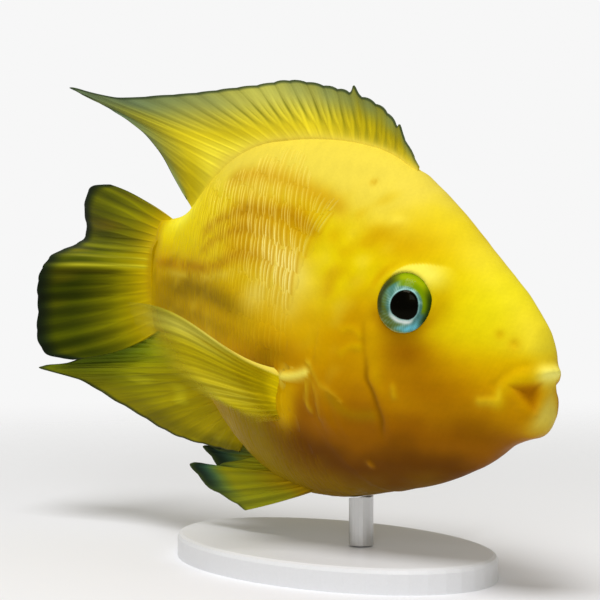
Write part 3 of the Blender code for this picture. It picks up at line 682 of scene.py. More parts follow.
def face_paint(units, colour):
    """Paler lips and chin, a painted highlight on the upper lip's tip, orange nostrils and painted brown
    shade inside the mouth.
    """
    back, side, height = np.moveaxis(units, -1, 0)
    lip_far = front_only(units, lambda places: nearest(places, UPPER_LIP)[0], 1.0)
    flap_far = front_only(units, lambda places: nearest(places, LIP_FLAP)[0], 1.0)
    chin = patch(units, 0.006, -0.054, 0.024, 0.042)
    chin = chin * soft_step(np.abs(side) + 0.40 * (height + 0.045), 0.034, 0.006)
    arm = patch(units, 0.061, -0.028, 0.005, 0.012) * soft_step(np.abs(side), 0.045, 0.055)
    colour = toward(colour, paint(226, 200, 50), 0.60 * arm)
    colour = toward(colour, paint(220, 184, 4), 0.6 * bump(lip_far, 0.013))
    colour = toward(colour, paint(222, 190, 30), 0.6 * bump(flap_far, 0.009))
    colour = toward(colour, paint(218, 200, 84), 0.90 * chin)
    # Painted highlight: near white on the tip of the upper lip.
    beak = patch(units, 0.004, 0.008, 0.022, 0.018) * soft_step(np.abs(side), 0.040, 0.012)
    colour = toward(colour, paint(252, 246, 128), 0.95 * beak)
    for spot, wide in ((NOSTRIL, 0.011), (PORE, 0.008)):
        far = np.linalg.norm(mirrored(units) - spot, axis=-1)
        colour = toward(colour, paint(200, 150, 0), 0.40 * bump(far, wide))
    # Painted shade: brown inside the open mouth, darker under the upper lip.
    mouth_shade = soft_step(front_only(units, inside_gape, -1.0), -0.008, 0.012)
    high = soft_step(height, -0.046, -0.020)
    colour = toward(colour, paint(160, 98, 0), (0.50 + 0.35 * high) * mouth_shade)
    grain = 1 + 0.020 * wobble(units, 0.030, 21) + 0.015 * wobble(units, 0.009, 22)
    return colour * grain[..., None]


FOLD_PAINT = (
    (paint(214, 184, 40), 0.75), (paint(208, 172, 30), 0.7), (paint(212, 174, 34), 0.65),
    (paint(244, 232, 104), 0.9), (paint(212, 164, 0), 0.85), (paint(222, 184, 0), 0.65),
    (paint(212, 178, 0), 0.6), (paint(160, 128, 0), 0.5), (paint(206, 166, 12), 0.6),
    (paint(188, 130, 10), 0.7),
)


def folds_paint(units):
    """Colour of the nearest fold and how strongly it shows."""
    colour, share = np.zeros(units.shape), np.zeros(units.shape[:-1])
    for (path, tall, wide, first), (other, most) in zip(FOLDS, FOLD_PAINT):
        line = np.array(path)
        far = part_only(units, lambda places: nearest(places, line)[0], 1.0, 0.20, 0.50)
        here = most * bump(far, wide * 1.1)
        colour = np.where((here > share)[..., None], other, colour)
        share = np.maximum(share, here)
    return colour, share


def part_only(units, function, other, first, last):
    """Value of a costly function between two places along the back, another elsewhere."""
    flat = units.reshape(-1, 3)
    result = np.full(len(flat), float(other))
    inside = (flat[:, 0] > first) & (flat[:, 0] < last)
    result[inside] = function(flat[inside])
    return result.reshape(units.shape[:-1])


def front_only(units, function, other):
    """Value of a costly function on the face, and another value behind it."""
    return part_only(units, function, other, -0.5, 0.16)


print("colour of the cheek:", body_paint(np.array((0.2, -0.1, -0.02))).round(3))

# %% [markdown]
# ## Materials
# Skin shows a soft, slightly grainy colour with a faint gloss. The colour comes from the painted
# attribute. Fine noise on object coordinates makes tiny changes in colour, gloss and height, at the size
# of skin pores.


# %% A wet skin or fin material
def wet_material(name, grain, depth, rough, coat, shine, lines=None, clear=False):
    """Principled shader with painted colour, noise in colour, gloss and bump."""
    look = bpy.data.materials.new(name)
    look.use_nodes = True
    nodes, links = look.node_tree.nodes, look.node_tree.links
    shader = nodes["Principled BSDF"]
    colour = nodes.new("ShaderNodeVertexColor")
    colour.layer_name = "Markings"
    where = nodes.new("ShaderNodeTexCoord")
    noise = nodes.new("ShaderNodeTexNoise")
    noise.inputs["Scale"].default_value = grain
    noise.inputs["Detail"].default_value = 4.0
    shade = nodes.new("ShaderNodeMapRange")
    shade.inputs["To Min"].default_value = 0.95
    shade.inputs["To Max"].default_value = 1.05
    tint = nodes.new("ShaderNodeVectorMath")
    tint.operation = "SCALE"
    gloss = nodes.new("ShaderNodeMapRange")
    gloss.inputs["To Min"].default_value = rough - 0.08
    gloss.inputs["To Max"].default_value = rough + 0.08
    relief = nodes.new("ShaderNodeBump")
    relief.inputs["Distance"].default_value = depth
    relief.inputs["Strength"].default_value = 0.6
    if lines:
        where = nodes.new("ShaderNodeUVMap")
        where.uv_map = "FinMap"
        fit = nodes.new("ShaderNodeMapping")
        fit.inputs["Scale"].default_value = lines
        links.new(where.outputs["UV"], fit.inputs["Vector"])
        links.new(fit.outputs["Vector"], noise.inputs["Vector"])
        shade.inputs["To Min"].default_value = 0.92 if clear else 0.86
        shade.inputs["To Max"].default_value = 1.08 if clear else 1.14
    else:
        links.new(where.outputs["Object"], noise.inputs["Vector"])
    if clear:
        links.new(colour.outputs["Alpha"], shader.inputs["Alpha"])
    links.new(noise.outputs["Fac"], shade.inputs["Value"])
    links.new(noise.outputs["Fac"], gloss.inputs["Value"])
    links.new(noise.outputs["Fac"], relief.inputs["Height"])
    links.new(colour.outputs["Color"], tint.inputs[0])
    links.new(shade.outputs["Result"], tint.inputs["Scale"])
    links.new(tint.outputs["Vector"], shader.inputs["Base Color"])
    links.new(gloss.outputs["Result"], shader.inputs["Roughness"])
    links.new(relief.outputs["Normal"], shader.inputs["Normal"])
    shader.inputs["Coat Weight"].default_value = coat
    shader.inputs["Coat Roughness"].default_value = 0.18
    shader.inputs["Specular IOR Level"].default_value = shine
    shader.inputs["Specular Tint"].default_value = (1.0, 0.86, 0.25, 1)
    return look


skin_look = wet_material("wet_yellow_skin", 1800.0, 0.00003, 0.46, 0.0, 0.05)
scale_look = wet_material("pearly_scale", 3400.0, 0.00002, 0.40, 0.0, 0.04)
fin_look = wet_material("olive_fin_membrane", 1.0, 0.00004, 0.50, 0.0, 0.05, lines=(7, 1.6, 1))
clear_look = wet_material("clear_fin_membrane", 1.0, 0.00002, 0.46, 0.0, 0.05,
                          lines=(7, 1.6, 1), clear=True)
print("materials:", skin_look.name, scale_look.name, fin_look.name)

# %% [markdown]
# ## The skin as one closed form
# A grid of rings is crowded where the face needs it: round the nose cap, and
# from the mouth to the gill cover. The angles are crowded at the flanks, where
# the eye and the mouth lie.

# %% Skin grid
ends = np.linspace(0.05, math.pi / 2, 44)
ring_backs = np.concatenate((
    START + NOSE_ROUND * (1 - np.cos(ends)), np.linspace(0.0335, 0.33, 158),
    np.linspace(0.3335, END - TAIL_ROUND, 104),
    END - TAIL_ROUND * (1 - np.sin(np.linspace(0.1, math.pi / 2 - 0.05, 8))),
))
half_turn = np.linspace(0, 1, 4001)
crowd = 1 + 1.1 * bump(half_turn - 0.38, 0.17) + 0.35 * bump(half_turn - 0.60, 0.10)
share = np.concatenate(((0,), np.cumsum((crowd[1:] + crowd[:-1]) / 2)))
half_angles = np.interp(np.linspace(0, share[-1], 151), share, half_turn) * math.pi
ring_angles = np.concatenate((half_angles[:-1], 2 * math.pi - half_angles[:0:-1]))
ring_angles = np.where(ring_angles > math.pi, ring_angles - 2 * math.pi, ring_angles)

body_points, body_units = skin_point(ring_backs[:, None], ring_angles[None, :])
poles = body_points[[0, -1]].mean(axis=1)
pole_units = body_units[[0, -1]].mean(axis=1)
count = ring_backs.size * ring_angles.size
ids = np.arange(count).reshape(ring_backs.size, ring_angles.size)
ids = np.vstack((np.full(ring_angles.size, count), ids, np.full(ring_angles.size, count + 1)))
all_units = np.vstack((body_units.reshape(-1, 3), pole_units))
skin = make_piece("skin", np.vstack((body_points.reshape(-1, 3), poles)),
                  grid_faces(ids, ring=True), light(body_paint(all_units)), skin_look,
                  takes=("head", "trunk", "tail_stalk", "gill_cover_left", "gill_cover_right"))

# %% [markdown]
# ## Scales
# The scales sit in rows along the flank, each row half a step off the next, and overlap like roof tiles.
# A scale here is a small closed plate: its front is buried, its rounded rear edge stands free, and the
# edge is painted paler, partly its own colour and partly a painted highlight where it catches the light,
# which gives the fine upright streaks. All plates of one side are worked out together, as one array of
# row, column, length and height.

# %% Finding a place on the flank
ARC_BACKS = np.linspace(0.27, 0.998, 130)
ARC_ANGLES = np.linspace(0, math.pi, 241)
ARCS = np.linspace(-0.45, 0.50, 240)


def arc_table():
    """Angle for each ring and each distance walked up from the flank's middle."""
    rim = body_point(ARC_BACKS[:, None], ARC_ANGLES[None, :]) / LENGTH
    walked = np.cumsum(np.linalg.norm(np.diff(rim, axis=1), axis=2), axis=1)
    walked = np.concatenate((np.zeros((len(ARC_BACKS), 1)), walked), axis=1)
    middle = walked[:, len(ARC_ANGLES) // 2]
    table = [np.interp(m - ARCS, row, ARC_ANGLES) for m, row in zip(middle, walked)]
    return np.array(table), middle, walked[:, -1] - middle


ANGLE_TABLE, ARC_UP, ARC_DOWN = arc_table()


def angle_at(back, arc):
    """Angle read from the table, weighted between its four nearest entries."""
    row = np.clip((back - ARC_BACKS[0]) / (ARC_BACKS[1] - ARC_BACKS[0]), 0, len(ARC_BACKS) - 1.001)
    column = np.clip((arc - ARCS[0]) / (ARCS[1] - ARCS[0]), 0, len(ARCS) - 1.001)
    i, j = row.astype(int), column.astype(int)
    x, y = row - i, column - j
    return ((1 - x) * ((1 - y) * ANGLE_TABLE[i, j] + y * ANGLE_TABLE[i, j + 1])
            + x * ((1 - y) * ANGLE_TABLE[i + 1, j] + y * ANGLE_TABLE[i + 1, j + 1]))


print("flank at mid body:", round(float(ARC_UP[60] + ARC_DOWN[60]) * LENGTH * 1000, 1), "mm")

# %% Laying out the scales
ROW_PITCH, COLUMN_PITCH, TAIL_PITCH = 0.0340, 0.0092, 0.0078
SCALE_OVERLAP, SCALE_THICK = 3.2, 0.00004


def top_of_scales(units):
    """1 on the flank, falling to 0 where the back is smooth under the dorsal fin."""
    return soft_step(units[..., 2] - 0.040 * np.sin(units[..., 0] * 19 - 9), 0.305, 0.235)


def scale_roots(seed):
    """Back and arc of every scale: columns by a slowly shrinking pitch, rows by arc."""
    draw = np.random.RandomState(seed)
    fine = np.linspace(0.29, 0.985, 2000)
    pitch = COLUMN_PITCH + (TAIL_PITCH - COLUMN_PITCH) * soft_step(fine, 0.5, 0.95)
    steps = np.concatenate(((0,), np.cumsum(np.diff(fine) / pitch[1:])))
    rows = np.arange(-10, 13)
    columns = np.arange(int(steps[-1]))
    place_at = columns[None, :] + 0.5 * (rows[:, None] % 2) + draw.uniform(-0.10, 0.10, (23, 1))
    place_at = place_at + draw.uniform(-0.09, 0.09, (23, columns.size))
    back = np.interp(place_at, steps, fine)
    arc = (rows[:, None] + 0.5) * ROW_PITCH + draw.uniform(-0.0070, 0.0070, back.shape)
    up, down = np.interp(back, ARC_BACKS, ARC_UP), np.interp(back, ARC_BACKS, ARC_DOWN)
    inside = (arc < up - 0.010) & (arc > -down + 0.012)
    angle = angle_at(back, arc)
    units = body_point(back, angle) / LENGTH * (-1, 1, 1) + (0.5, 0, 0)
    inside &= (trunk_share(units) > 0.5) & (top_of_scales(units) > 0.05)
    return back[inside], arc[inside], draw.uniform(0.85, 1.15, inside.sum())


def streak_show(units):
    """How strongly the pale scale edges, partly painted highlight, show: most on the upper flank behind
    the gill.
    """
    back, height = units[..., 0], units[..., 2]
    show = 0.10 + 0.44 * patch(units, 0.58, 0.20, 0.20, 0.09, -10)
    show = show + 1.00 * patch(units, 0.490, 0.125, 0.10, 0.045, 24)
    show = show + 0.28 * patch(units, 0.395, 0.222, 0.045, 0.045)
    show = show + 0.35 * patch(units, 0.73, 0.235, 0.09, 0.05, -20)
    clear = soft_step(behind(GILL_EDGE, back, height), 0.012, 0.050)
    return show * clear * soft_step(back, 0.95, 0.72)


root_back, root_arc, root_size = scale_roots(5)
print("scales on each side:", len(root_back))

# %% Both coats of scales
ALONG = np.array((0.0, 0.60, 0.78, 0.90, 1.0))[:, None]
UPRIGHT = np.array((-1.0, -0.72, -0.28, 0.28, 0.72, 1.0))[None, :]
STREAK, BETWEEN = paint(255, 240, 146), paint(180, 124, 0)


def scale_coat(name, side):
    """Plates of one side: length, height and lift from two local coordinates."""
    size = root_size[:, None, None]
    long = np.interp(root_back, (0.5, 0.95), (COLUMN_PITCH, TAIL_PITCH)) * SCALE_OVERLAP
    tall = ROW_PITCH * 0.80 * size
    lean = -0.34 * soft_step(root_arc, 0.07, 0.22) - 0.05
    lean = lean + 0.75 * soft_step(root_back, 0.46, 0.38) * soft_step(root_arc, 0.10, 0.20)
    back = (root_back[:, None, None] + long[:, None, None] * ALONG * (1 - 0.09 * UPRIGHT ** 2) * size
            - lean[:, None, None] * tall * UPRIGHT)
    arc = root_arc[:, None, None] + tall * UPRIGHT * (0.80 + 0.20 * np.sin(ALONG * math.pi))
    angle = np.clip(angle_at(back, arc), 0.012, math.pi - 0.012) * side
    plain = body_point(root_back, angle_at(root_back, root_arc)) / LENGTH * (-1, 1, 1) + (0.5, 0, 0)
    clear = soft_step(trunk_share(plain - (0.030, 0, 0)), 0.2, 1.0)
    clear = clear * top_of_scales(plain)
    rear = soft_step(plain[:, 0], 0.56, 0.72) * soft_step(plain[:, 2], 0.17, 0.11)
    raised = (1 - 0.55 * rear)[:, None, None]
    lift = -0.00006 + (0.00019 * ALONG * raised - 0.00015 * UPRIGHT ** 4) * size
    lift = lift - 0.00019 * (1 - clear[:, None, None])
    top, units = skin_point(np.minimum(back, 0.996), angle, lift)
    under, _ = skin_point(np.minimum(back, 0.996), angle, lift - SCALE_THICK)
    show = streak_show(units)
    # Pale rear edges of the scales: partly their own colour, partly a painted highlight where the edges
    # catch the light.
    edge = soft_step(ALONG, 0.84, 1.0) * (1 - 0.7 * UPRIGHT ** 2)
    colour = body_paint(units)
    colour = toward(colour, BETWEEN, 0.45 * show * bump(ALONG - 0.78, 0.14))
    colour = light(toward(colour, STREAK, show * edge * np.random.RandomState(9).uniform(
        0.6, 1.1, (len(root_back), 1, 1))))
    number, steps, heights = len(root_back), ALONG.shape[0], UPRIGHT.shape[1]
    ids = np.arange(steps * heights).reshape(steps, heights)
    lower = ids[::-1] + steps * heights
    sheet = np.concatenate((grid_faces(ids), grid_faces(lower)))
    rim = np.concatenate((ids[0, :-1], ids[:-1, -1], ids[-1, :0:-1], ids[:0:-1, 0]))
    wall = grid_faces(np.stack((rim, rim + steps * heights), axis=1).T, ring=True)
    one = np.concatenate((sheet, wall))
    faces = one[None] + (np.arange(number) * 2 * steps * heights)[:, None, None]
    points = np.stack((top, under), axis=1).reshape(-1, 3)
    colours = np.stack((colour, colour), axis=1).reshape(-1, 3)
    coat = make_piece(name, points, faces.reshape(-1, 4), colours, scale_look)
    spot = np.stack((0.05 + 0.9 * root_back, 0.5 + side * angle_at(root_back, root_arc) / 7), axis=1)
    local = np.stack(np.broadcast_arrays(0.003 * (ALONG - 0.5), 0.0015 * UPRIGHT), axis=-1)
    local = np.concatenate((local, local)).reshape(1, -1, 2)
    add_map(coat, "OFBake", (spot[:, None] + local).reshape(-1, 2))


for side, word in ((1, "left"), (-1, "right")):
    scale_coat("scales_" + word, side)

# %% [markdown]
# ## Fins
# A fin is a thin skin stretched over rays that fan out from its root. Each point
# lies on a line from the root to the margin, bowed a little. The rays are
# ridges that split in two and again toward the margin, and the margin is drawn
# in between them. Left and right faces share one closed grid.

# %% Lines that shape a fin
def line_through(points, at=None):
    """Function that reads a smooth line through points at positions from 0 to 1."""
    points = np.array(points, float)
    at = np.linspace(0, 1, len(points)) if at is None else np.array(at)
    return lambda u: smooth_curve(u, at, points)


def fade(first, last, power):
    """Value that falls from first to last along a fin."""
    return lambda u: last + (first - last) * (1 - u) ** power


ROOT_SUNK = 0.0025


def sunk(line, direction):
    """The same line, moved into the body by the depth of a fin's root."""
    shift = np.array(direction, float) * ROOT_SUNK / LENGTH
    return lambda u: line(u) + shift


def along_back(first, last, edge):
    """Line along the midline of the back (edge 1) or of the belly (edge 2)."""
    def line(u):
        back = first + (last - first) * u
        height = smooth_curve(back, STATIONS[:, 0], STATIONS[:, edge])
        return np.stack((back, np.zeros_like(back), height), axis=1)
    return line


print("a fin's root is sunk", ROOT_SUNK * 1000, "mm")

# %% A rayed fin
MEMBRANE, RAY_HEIGHT, MARGIN = 0.00045, 0.00060, 0.00022
FIN_ROWS = 64


def ray_distance(phase, v):
    """How far a place is from the nearest branch, in gaps between rays."""
    first = 0.21 * soft_step(v, 0.28, 0.55)
    second = 0.105 * soft_step(v, 0.60, 0.88)
    off = np.abs(phase)
    return np.abs(np.abs(off - first) - second)


TAIL_FLESH = 0.035


def beyond_body(units):
    """How far a place lies over the back, under the belly or behind the tail, in lengths."""
    back, height = units[..., 0], units[..., 2]
    over = height - smooth_curve(back, STATIONS[:, 0], STATIONS[:, 1])
    under = smooth_curve(back, STATIONS[:, 0], STATIONS[:, 2]) - height
    return np.maximum(np.maximum(over, under), back - END + TAIL_FLESH)


def make_fin(name, rays, root, tip, bow, notch, root_thick, colour_at, per_ray=12,
             ripple=0.0, blend=0.22, clear_at=None, flesh=None, ray_height=RAY_HEIGHT,
             ends=0.05, fine=1.0, sway=0.0, weaker=0.0):
    """Fin between a root line and its margin, with branching rays on both faces."""
    u = np.linspace(0, 1, (rays - 1) * per_ray + 1)
    v = np.linspace(0, 1, FIN_ROWS)[:, None] ** 0.95
    start, end, lean = place(*root(u).T), place(*tip(u).T), bow(u) * LENGTH
    phase = u * (rays - 1)
    phase = (phase + 0.5) % 1 - 0.5
    drawn_in = 1 - notch(u) * (1 - np.abs(np.cos(math.pi * phase)))
    way = (v * drawn_in)[..., None]
    middle = start + (end - start) * way + 4 * way * (1 - way) * lean
    dip = sway * LENGTH * np.sin(2 * math.pi * way[..., 0]) * (1 - u) ** 2
    middle = middle - dip[..., None] * (0, 0, 1)
    normals = np.cross(np.gradient(middle, axis=0), np.gradient(middle, axis=1))
    normals /= np.maximum(np.linalg.norm(normals, axis=2, keepdims=True), 1e-12)
    wave = np.sin(2 * math.pi * (u * rays / 4.3 + 0.8 * v)) * v ** 1.5 * ripple
    wave = wave + np.sin(2 * math.pi * phase) * v * ripple * 0.25
    middle = middle + normals * wave[..., None]
    far = ray_distance(phase, v)
    units = middle / LENGTH * (-1, 1, 1) + (0.5, 0, 0)
    fleshy = np.exp(-v / 0.10) + 0 * u
    flare = root_thick * fleshy
    if flesh:
        out = np.maximum(beyond_body(units), 0)
        fleshy = np.exp(-out / flesh)
        flare = root_thick * fleshy * soft_step(u, 0.0, ends) * soft_step(u, 1.0, 1 - ends)
    strength = ray_height * (1 - weaker * soft_step(u, 0.38, 0.55))
    ridge = strength * (1 - 0.75 * v) * bump(far, 0.12 - 0.06 * v)
    thick = MEMBRANE * (1 - 0.35 * v) + ridge * soft_step(v, 0.0, 0.15) * (1 - fleshy ** 2)
    thick = thick + flare
    thick = thick * np.sqrt(soft_step(v, 1.02, 0.93)) + MARGIN * soft_step(v, 0.90, 1.0)
    left, right = (middle + normals * sign * thick[..., None] / 2 for sign in (1, -1))
    points = np.concatenate((left, right[::-1]))
    rows, columns = points.shape[:2]
    shared = colour_at(u[None, :] + 0 * v, v + 0 * u, far, units)
    rooted = soft_step(v + 0 * u, blend, 0.03)
    if flesh:
        rooted = np.maximum(rooted, fleshy ** 1.5)
    shared = toward(shared, body_paint(units), rooted)
    seen = clear_at(u[None, :] + 0 * v, v + 0 * u, far) if clear_at else np.ones(shared.shape[:2])
    shared = np.concatenate((light(shared), seen[..., None]), axis=-1)
    colours = np.concatenate((shared, shared[::-1]))
    ids = np.arange(rows * columns).reshape(rows, columns)
    faces = [grid_faces(ids.T, ring=True)]
    half = rows // 2
    for column in (0, columns - 1):
        strip = np.stack((ids[:half, column], ids[:half - 1:-1, column]), axis=1)
        strip = strip if column else strip[:, ::-1]
        faces.append(grid_faces(strip))
    piece = make_piece(name, points.reshape(-1, 3), np.concatenate(faces), colours.reshape(-1, 4),
                       clear_look if clear_at else fin_look, takes=(name,))
    across = np.broadcast_to(u * (rays - 1) * fine, (half, columns))
    along_ray = np.broadcast_to(v, (half, columns))
    both = np.stack((across, along_ray), axis=-1)
    add_map(piece, "FinMap", np.concatenate((both, both[::-1])).reshape(-1, 2))
    return piece


print("a fin has", FIN_ROWS, "rows from root to margin")

# %% Dorsal fin
FIN_GOLD, FIN_STRAW, FIN_OLIVE = paint(236, 216, 36), paint(222, 214, 84), paint(126, 124, 18)
FIN_GREY, FIN_DARK = paint(110, 132, 104), paint(46, 60, 40)


def dorsal_colour(u, v, far, units):
    """Straw rays with olive stripes between, grey green margin, darker point behind."""
    streak = 0.5 + 0.5 * wobble(np.stack((u * 5.5, v * 0.12, 0 * u), axis=-1), 0.28, 31)
    colour = toward(FIN_GOLD * np.ones(units.shape), FIN_STRAW, soft_step(v, 0.30, 0.80))
    colour = toward(colour, paint(252, 236, 62), soft_step(v, 0.34, 0.12))
    gap = soft_step(far, 0.12, 0.30) * soft_step(v, 0.34, 0.60) * (1 - 0.5 * soft_step(u, 0.47, 0.66))
    colour = toward(colour, FIN_OLIVE, 0.80 * gap)
    front = soft_step(u, 0.40, 0.17)
    colour = toward(colour, paint(182, 164, 10), 0.85 * front)
    colour = toward(colour, FIN_OLIVE, 0.60 * front * soft_step(far, 0.14, 0.34))
    rear = soft_step(u, 0.53, 0.78) * soft_step(v, 0.34, 0.60)
    colour = toward(colour, paint(178, 172, 66), 0.55 * rear)
    colour = toward(colour, paint(168, 148, 4), 0.60 * soft_step(u, 0.84, 0.96))
    point = soft_step(units[..., 0], 0.86, 1.15)
    colour = toward(colour, FIN_OLIVE, 0.55 * point * soft_step(u, 0.98, 0.85))
    pale = 1 - 0.65 * bump(u - 0.48, 0.085)
    colour = toward(colour, FIN_GREY, soft_step(v, 0.50, 0.92) * pale
                    * (0.30 + 0.5 * streak + 0.25 * point))
    colour = toward(colour, FIN_DARK, 0.80 * soft_step(v, 0.94, 0.985))
    return colour * (0.90 + 0.16 * streak)[..., None]


dorsal_margin = line_through((
    (0.322, 0.000, 0.303), (0.370, 0.000, 0.364), (0.450, 0.000, 0.408),
    (0.543, 0.000, 0.423), (0.640, 0.000, 0.430), (0.740, 0.000, 0.417),
    (0.850, 0.000, 0.402), (0.990, 0.000, 0.388), (1.130, -0.004, 0.377),
    (1.279, -0.010, 0.388), (1.150, 0.000, 0.353), (1.026, 0.004, 0.297),
    (0.914, 0.000, 0.203),
), at=(0, 0.085, 0.195, 0.305, 0.40, 0.485, 0.565, 0.645, 0.71, 0.78, 0.85, 0.93, 1))
dorsal_bend = line_through(((0, 0, 0), (0, 0.004, 0), (0, -0.004, 0), (0, 0.006, 0), (0, 0, 0)))



def spiny_margin(u):
    """The dorsal margin with two spine tips that stand out of its front."""
    tips = 0.8 * bump(u - 2 / 26, 0.007) + bump(u - 6 / 26, 0.007)
    return dorsal_margin(u) + tips[:, None] * (0.003, 0, 0.012)


make_fin("dorsal_fin", 27, sunk(along_back(0.320, 0.880, 1), (0, 0, -1)), spiny_margin,
         dorsal_bend, fade(0.06, 0.003, 3), 0.0008, dorsal_colour, ripple=0.0003, blend=0.16,
         flesh=0.014, weaker=0.6)


# %% Anal fin
def anal_colour(u, v, far, units):
    """Olive yellow in front and greener behind, darker along the edge."""
    streak = 0.5 + 0.5 * wobble(np.stack((u * 4.5, v * 0.15, 0 * u), axis=-1), 0.30, 32)
    colour = toward(paint(172, 154, 4) * np.ones(units.shape), paint(108, 124, 14),
                    soft_step(u, 0.2, 0.9) * soft_step(v, 0.1, 0.8))
    colour = toward(colour, paint(72, 92, 14), 0.50 * soft_step(u, 0.45, 0.85))
    colour = toward(colour, paint(112, 104, 10), 0.60 * soft_step(v, 0.55, 0.85) * soft_step(u, 0.7, 0.4))
    colour = toward(colour, paint(44, 52, 26), 0.8 * soft_step(v, 0.94, 0.985))
    glint = soft_step(wobble(np.stack((u * 2.2, v * 0.9, 0 * u), axis=-1), 0.25, 36), 0.30, 0.75)
    colour = toward(colour, paint(206, 200, 40), 0.55 * glint * soft_step(u, 0.75, 0.45)
                    * soft_step(u, 0.08, 0.20))
    lighter = 1 + 0.22 * soft_step(u, 0.50, 0.80) * soft_step(v, 0.9, 0.4)
    return colour * ((0.84 + 0.30 * streak) * lighter)[..., None]


anal_margin = line_through((
    (0.722, 0.000, -0.238), (0.790, 0.000, -0.242), (0.875, 0.000, -0.240),
    (0.970, 0.000, -0.229), (1.080, -0.003, -0.205), (1.195, -0.006, -0.179),
    (1.342, -0.010, -0.173), (1.246, 0.002, -0.149), (1.110, 0.006, -0.086),
    (0.985, 0.004, -0.046),
))
anal_bend = line_through(((0, 0, 0), (0, -0.005, 0), (0, 0.005, 0), (0, 0, 0)))
make_fin("anal_fin", 16, sunk(along_back(0.700, 0.905, 2), (0, 0, 1)), anal_margin,
         anal_bend, fade(0.03, 0.004, 3), 0.0012, anal_colour, per_ray=16, ripple=0.0003,
         flesh=0.020)


# %% Tail fin
def caudal_colour(u, v, far, units):
    """Yellow green at the root, olive along the rays, a blackish margin and painted highlights along the
    fold.
    """
    streak = 0.5 + 0.5 * wobble(np.stack((u * 4.0, v * 0.10, 0 * u), axis=-1), 0.22, 33)
    broad = 0.5 + 0.5 * wobble(np.stack((u * 2.6, v * 0.30, 0 * u), axis=-1), 0.26, 37)
    colour = toward(paint(198, 172, 0) * np.ones(units.shape), paint(146, 142, 4),
                    soft_step(v, 0.06, 0.46))
    upper = soft_step(u, 0.50, 0.25)
    colour = toward(colour, paint(62, 74, 6), soft_step(v, 0.32, 0.76) * (1.20 - 0.60 * streak)
                    * (1 - 0.40 * upper))
    colour = toward(colour, paint(150, 126, 14), 0.60 * soft_step(broad, 0.50, 0.85)
                    * bump(v - 0.62, 0.28))
    colour = toward(colour, paint(26, 38, 22), soft_step(v, 0.85, 0.99))
    # Painted highlights along the ridges of the fin's fold.
    pleat_highlight = bump(u - 0.535, 0.018) + 0.7 * bump(u - 0.465, 0.016) + 0.3 * bump(u - 0.36, 0.030)
    colour = toward(colour, paint(214, 208, 44), 0.85 * pleat_highlight * soft_step(v, 1.05, 0.7))
    colour = toward(colour, paint(84, 78, 4), 0.60 * bump(u - 0.580, 0.020)
                    * soft_step(v, 0.25, 0.45) * soft_step(v, 1.0, 0.85))
    deep = soft_step(v, 0.05, 0.45)
    dim = 0.42 + 0.04 * upper + 0.10 * soft_step(u, 0.58, 0.66) * soft_step(v, 0.30, 0.50)
    return colour * (1 - dim * deep + 0.55 * (streak - 0.25 * (1 - deep)) * deep)[..., None]


caudal_root = line_through(((0.925, 0, 0.152), (0.975, 0, 0.104), (0.985, 0, 0.040),
                            (0.960, 0, -0.042)))
caudal_margin = line_through((
    (1.195, 0.036, 0.207), (1.256, 0.042, 0.198), (1.280, 0.044, 0.162),
    (1.282, 0.040, 0.087), (1.270, 0.002, 0.0735), (1.270, -0.036, 0.0635),
    (1.262, -0.062, 0.048), (1.262, -0.074, -0.040), (1.258, -0.070, -0.108),
    (1.232, -0.063, -0.131), (1.172, -0.052, -0.130),
), at=(0, 0.067, 0.15, 0.33, 0.40, 0.46, 0.53, 0.75, 0.88, 0.94, 1))


def caudal_bend(u):
    """Sixth of the margin's sideways swing, held back, and a rise at both edges."""
    edge = np.exp(-u / 0.10) - 1.4 * np.exp((u - 1) / 0.10)
    return caudal_margin(u) * (0, -0.16, 0) + np.stack((0 * u, 0 * u, 0.010 * edge), axis=1)


make_fin("caudal_fin", 16, caudal_root, caudal_margin, caudal_bend, fade(0.006, 0.006, 1),
         0.0066, caudal_colour, per_ray=18, ripple=0.0003, blend=0.12, flesh=0.032, ends=0.40,
         ray_height=0.00034, fine=0.45)


# %% Paired fins
def pectoral_colour(u, v, far, units):
    """Pale upper edge, whitish streaks below, a bright band at the root and olive tips."""
    streak = 0.5 + 0.5 * wobble(np.stack((u * 3.0, v * 0.10, 0 * u), axis=-1), 0.20, 34)
    colour = toward(paint(178, 156, 2) * np.ones(units.shape), paint(190, 174, 14),
                    soft_step(v, 0.22, 0.55))
    colour = toward(colour, paint(234, 208, 4), 0.90 * soft_step(v, 0.20, 0.09))
    colour = toward(colour, paint(236, 222, 98), 0.85 * bump(u, 0.035) * soft_step(v, 0.80, 0.50))
    colour = toward(colour, paint(196, 188, 84), 0.75 * bump(u - 0.10, 0.13) * soft_step(v, 0.2, 0.6))
    colour = toward(colour, paint(160, 134, 0), 0.60 * bump(u - 0.13, 0.025)
                    * soft_step(v, 0.08, 0.18) * soft_step(v, 0.70, 0.45))
    pale = bump(u - 0.62, 0.14) * soft_step(v, 0.15, 0.5)
    colour = toward(colour, paint(206, 196, 84), (0.30 + 0.4 * bump(far, 0.16)) * pale)
    colour = toward(colour, paint(218, 208, 60), 0.5 * bump(far, 0.12) * soft_step(u, 0.7, 0.9))
    colour = toward(colour, paint(140, 142, 50), 0.8 * soft_step(v, 0.66, 0.98))
    middle = soft_step(v, 0.30, 0.45) * soft_step(u, 0.22, 0.38) * soft_step(u, 0.75, 0.60)
    colour = toward(colour, paint(200, 182, 18), 0.5 * middle)
    return colour * (0.86 + 0.22 * streak)[..., None]


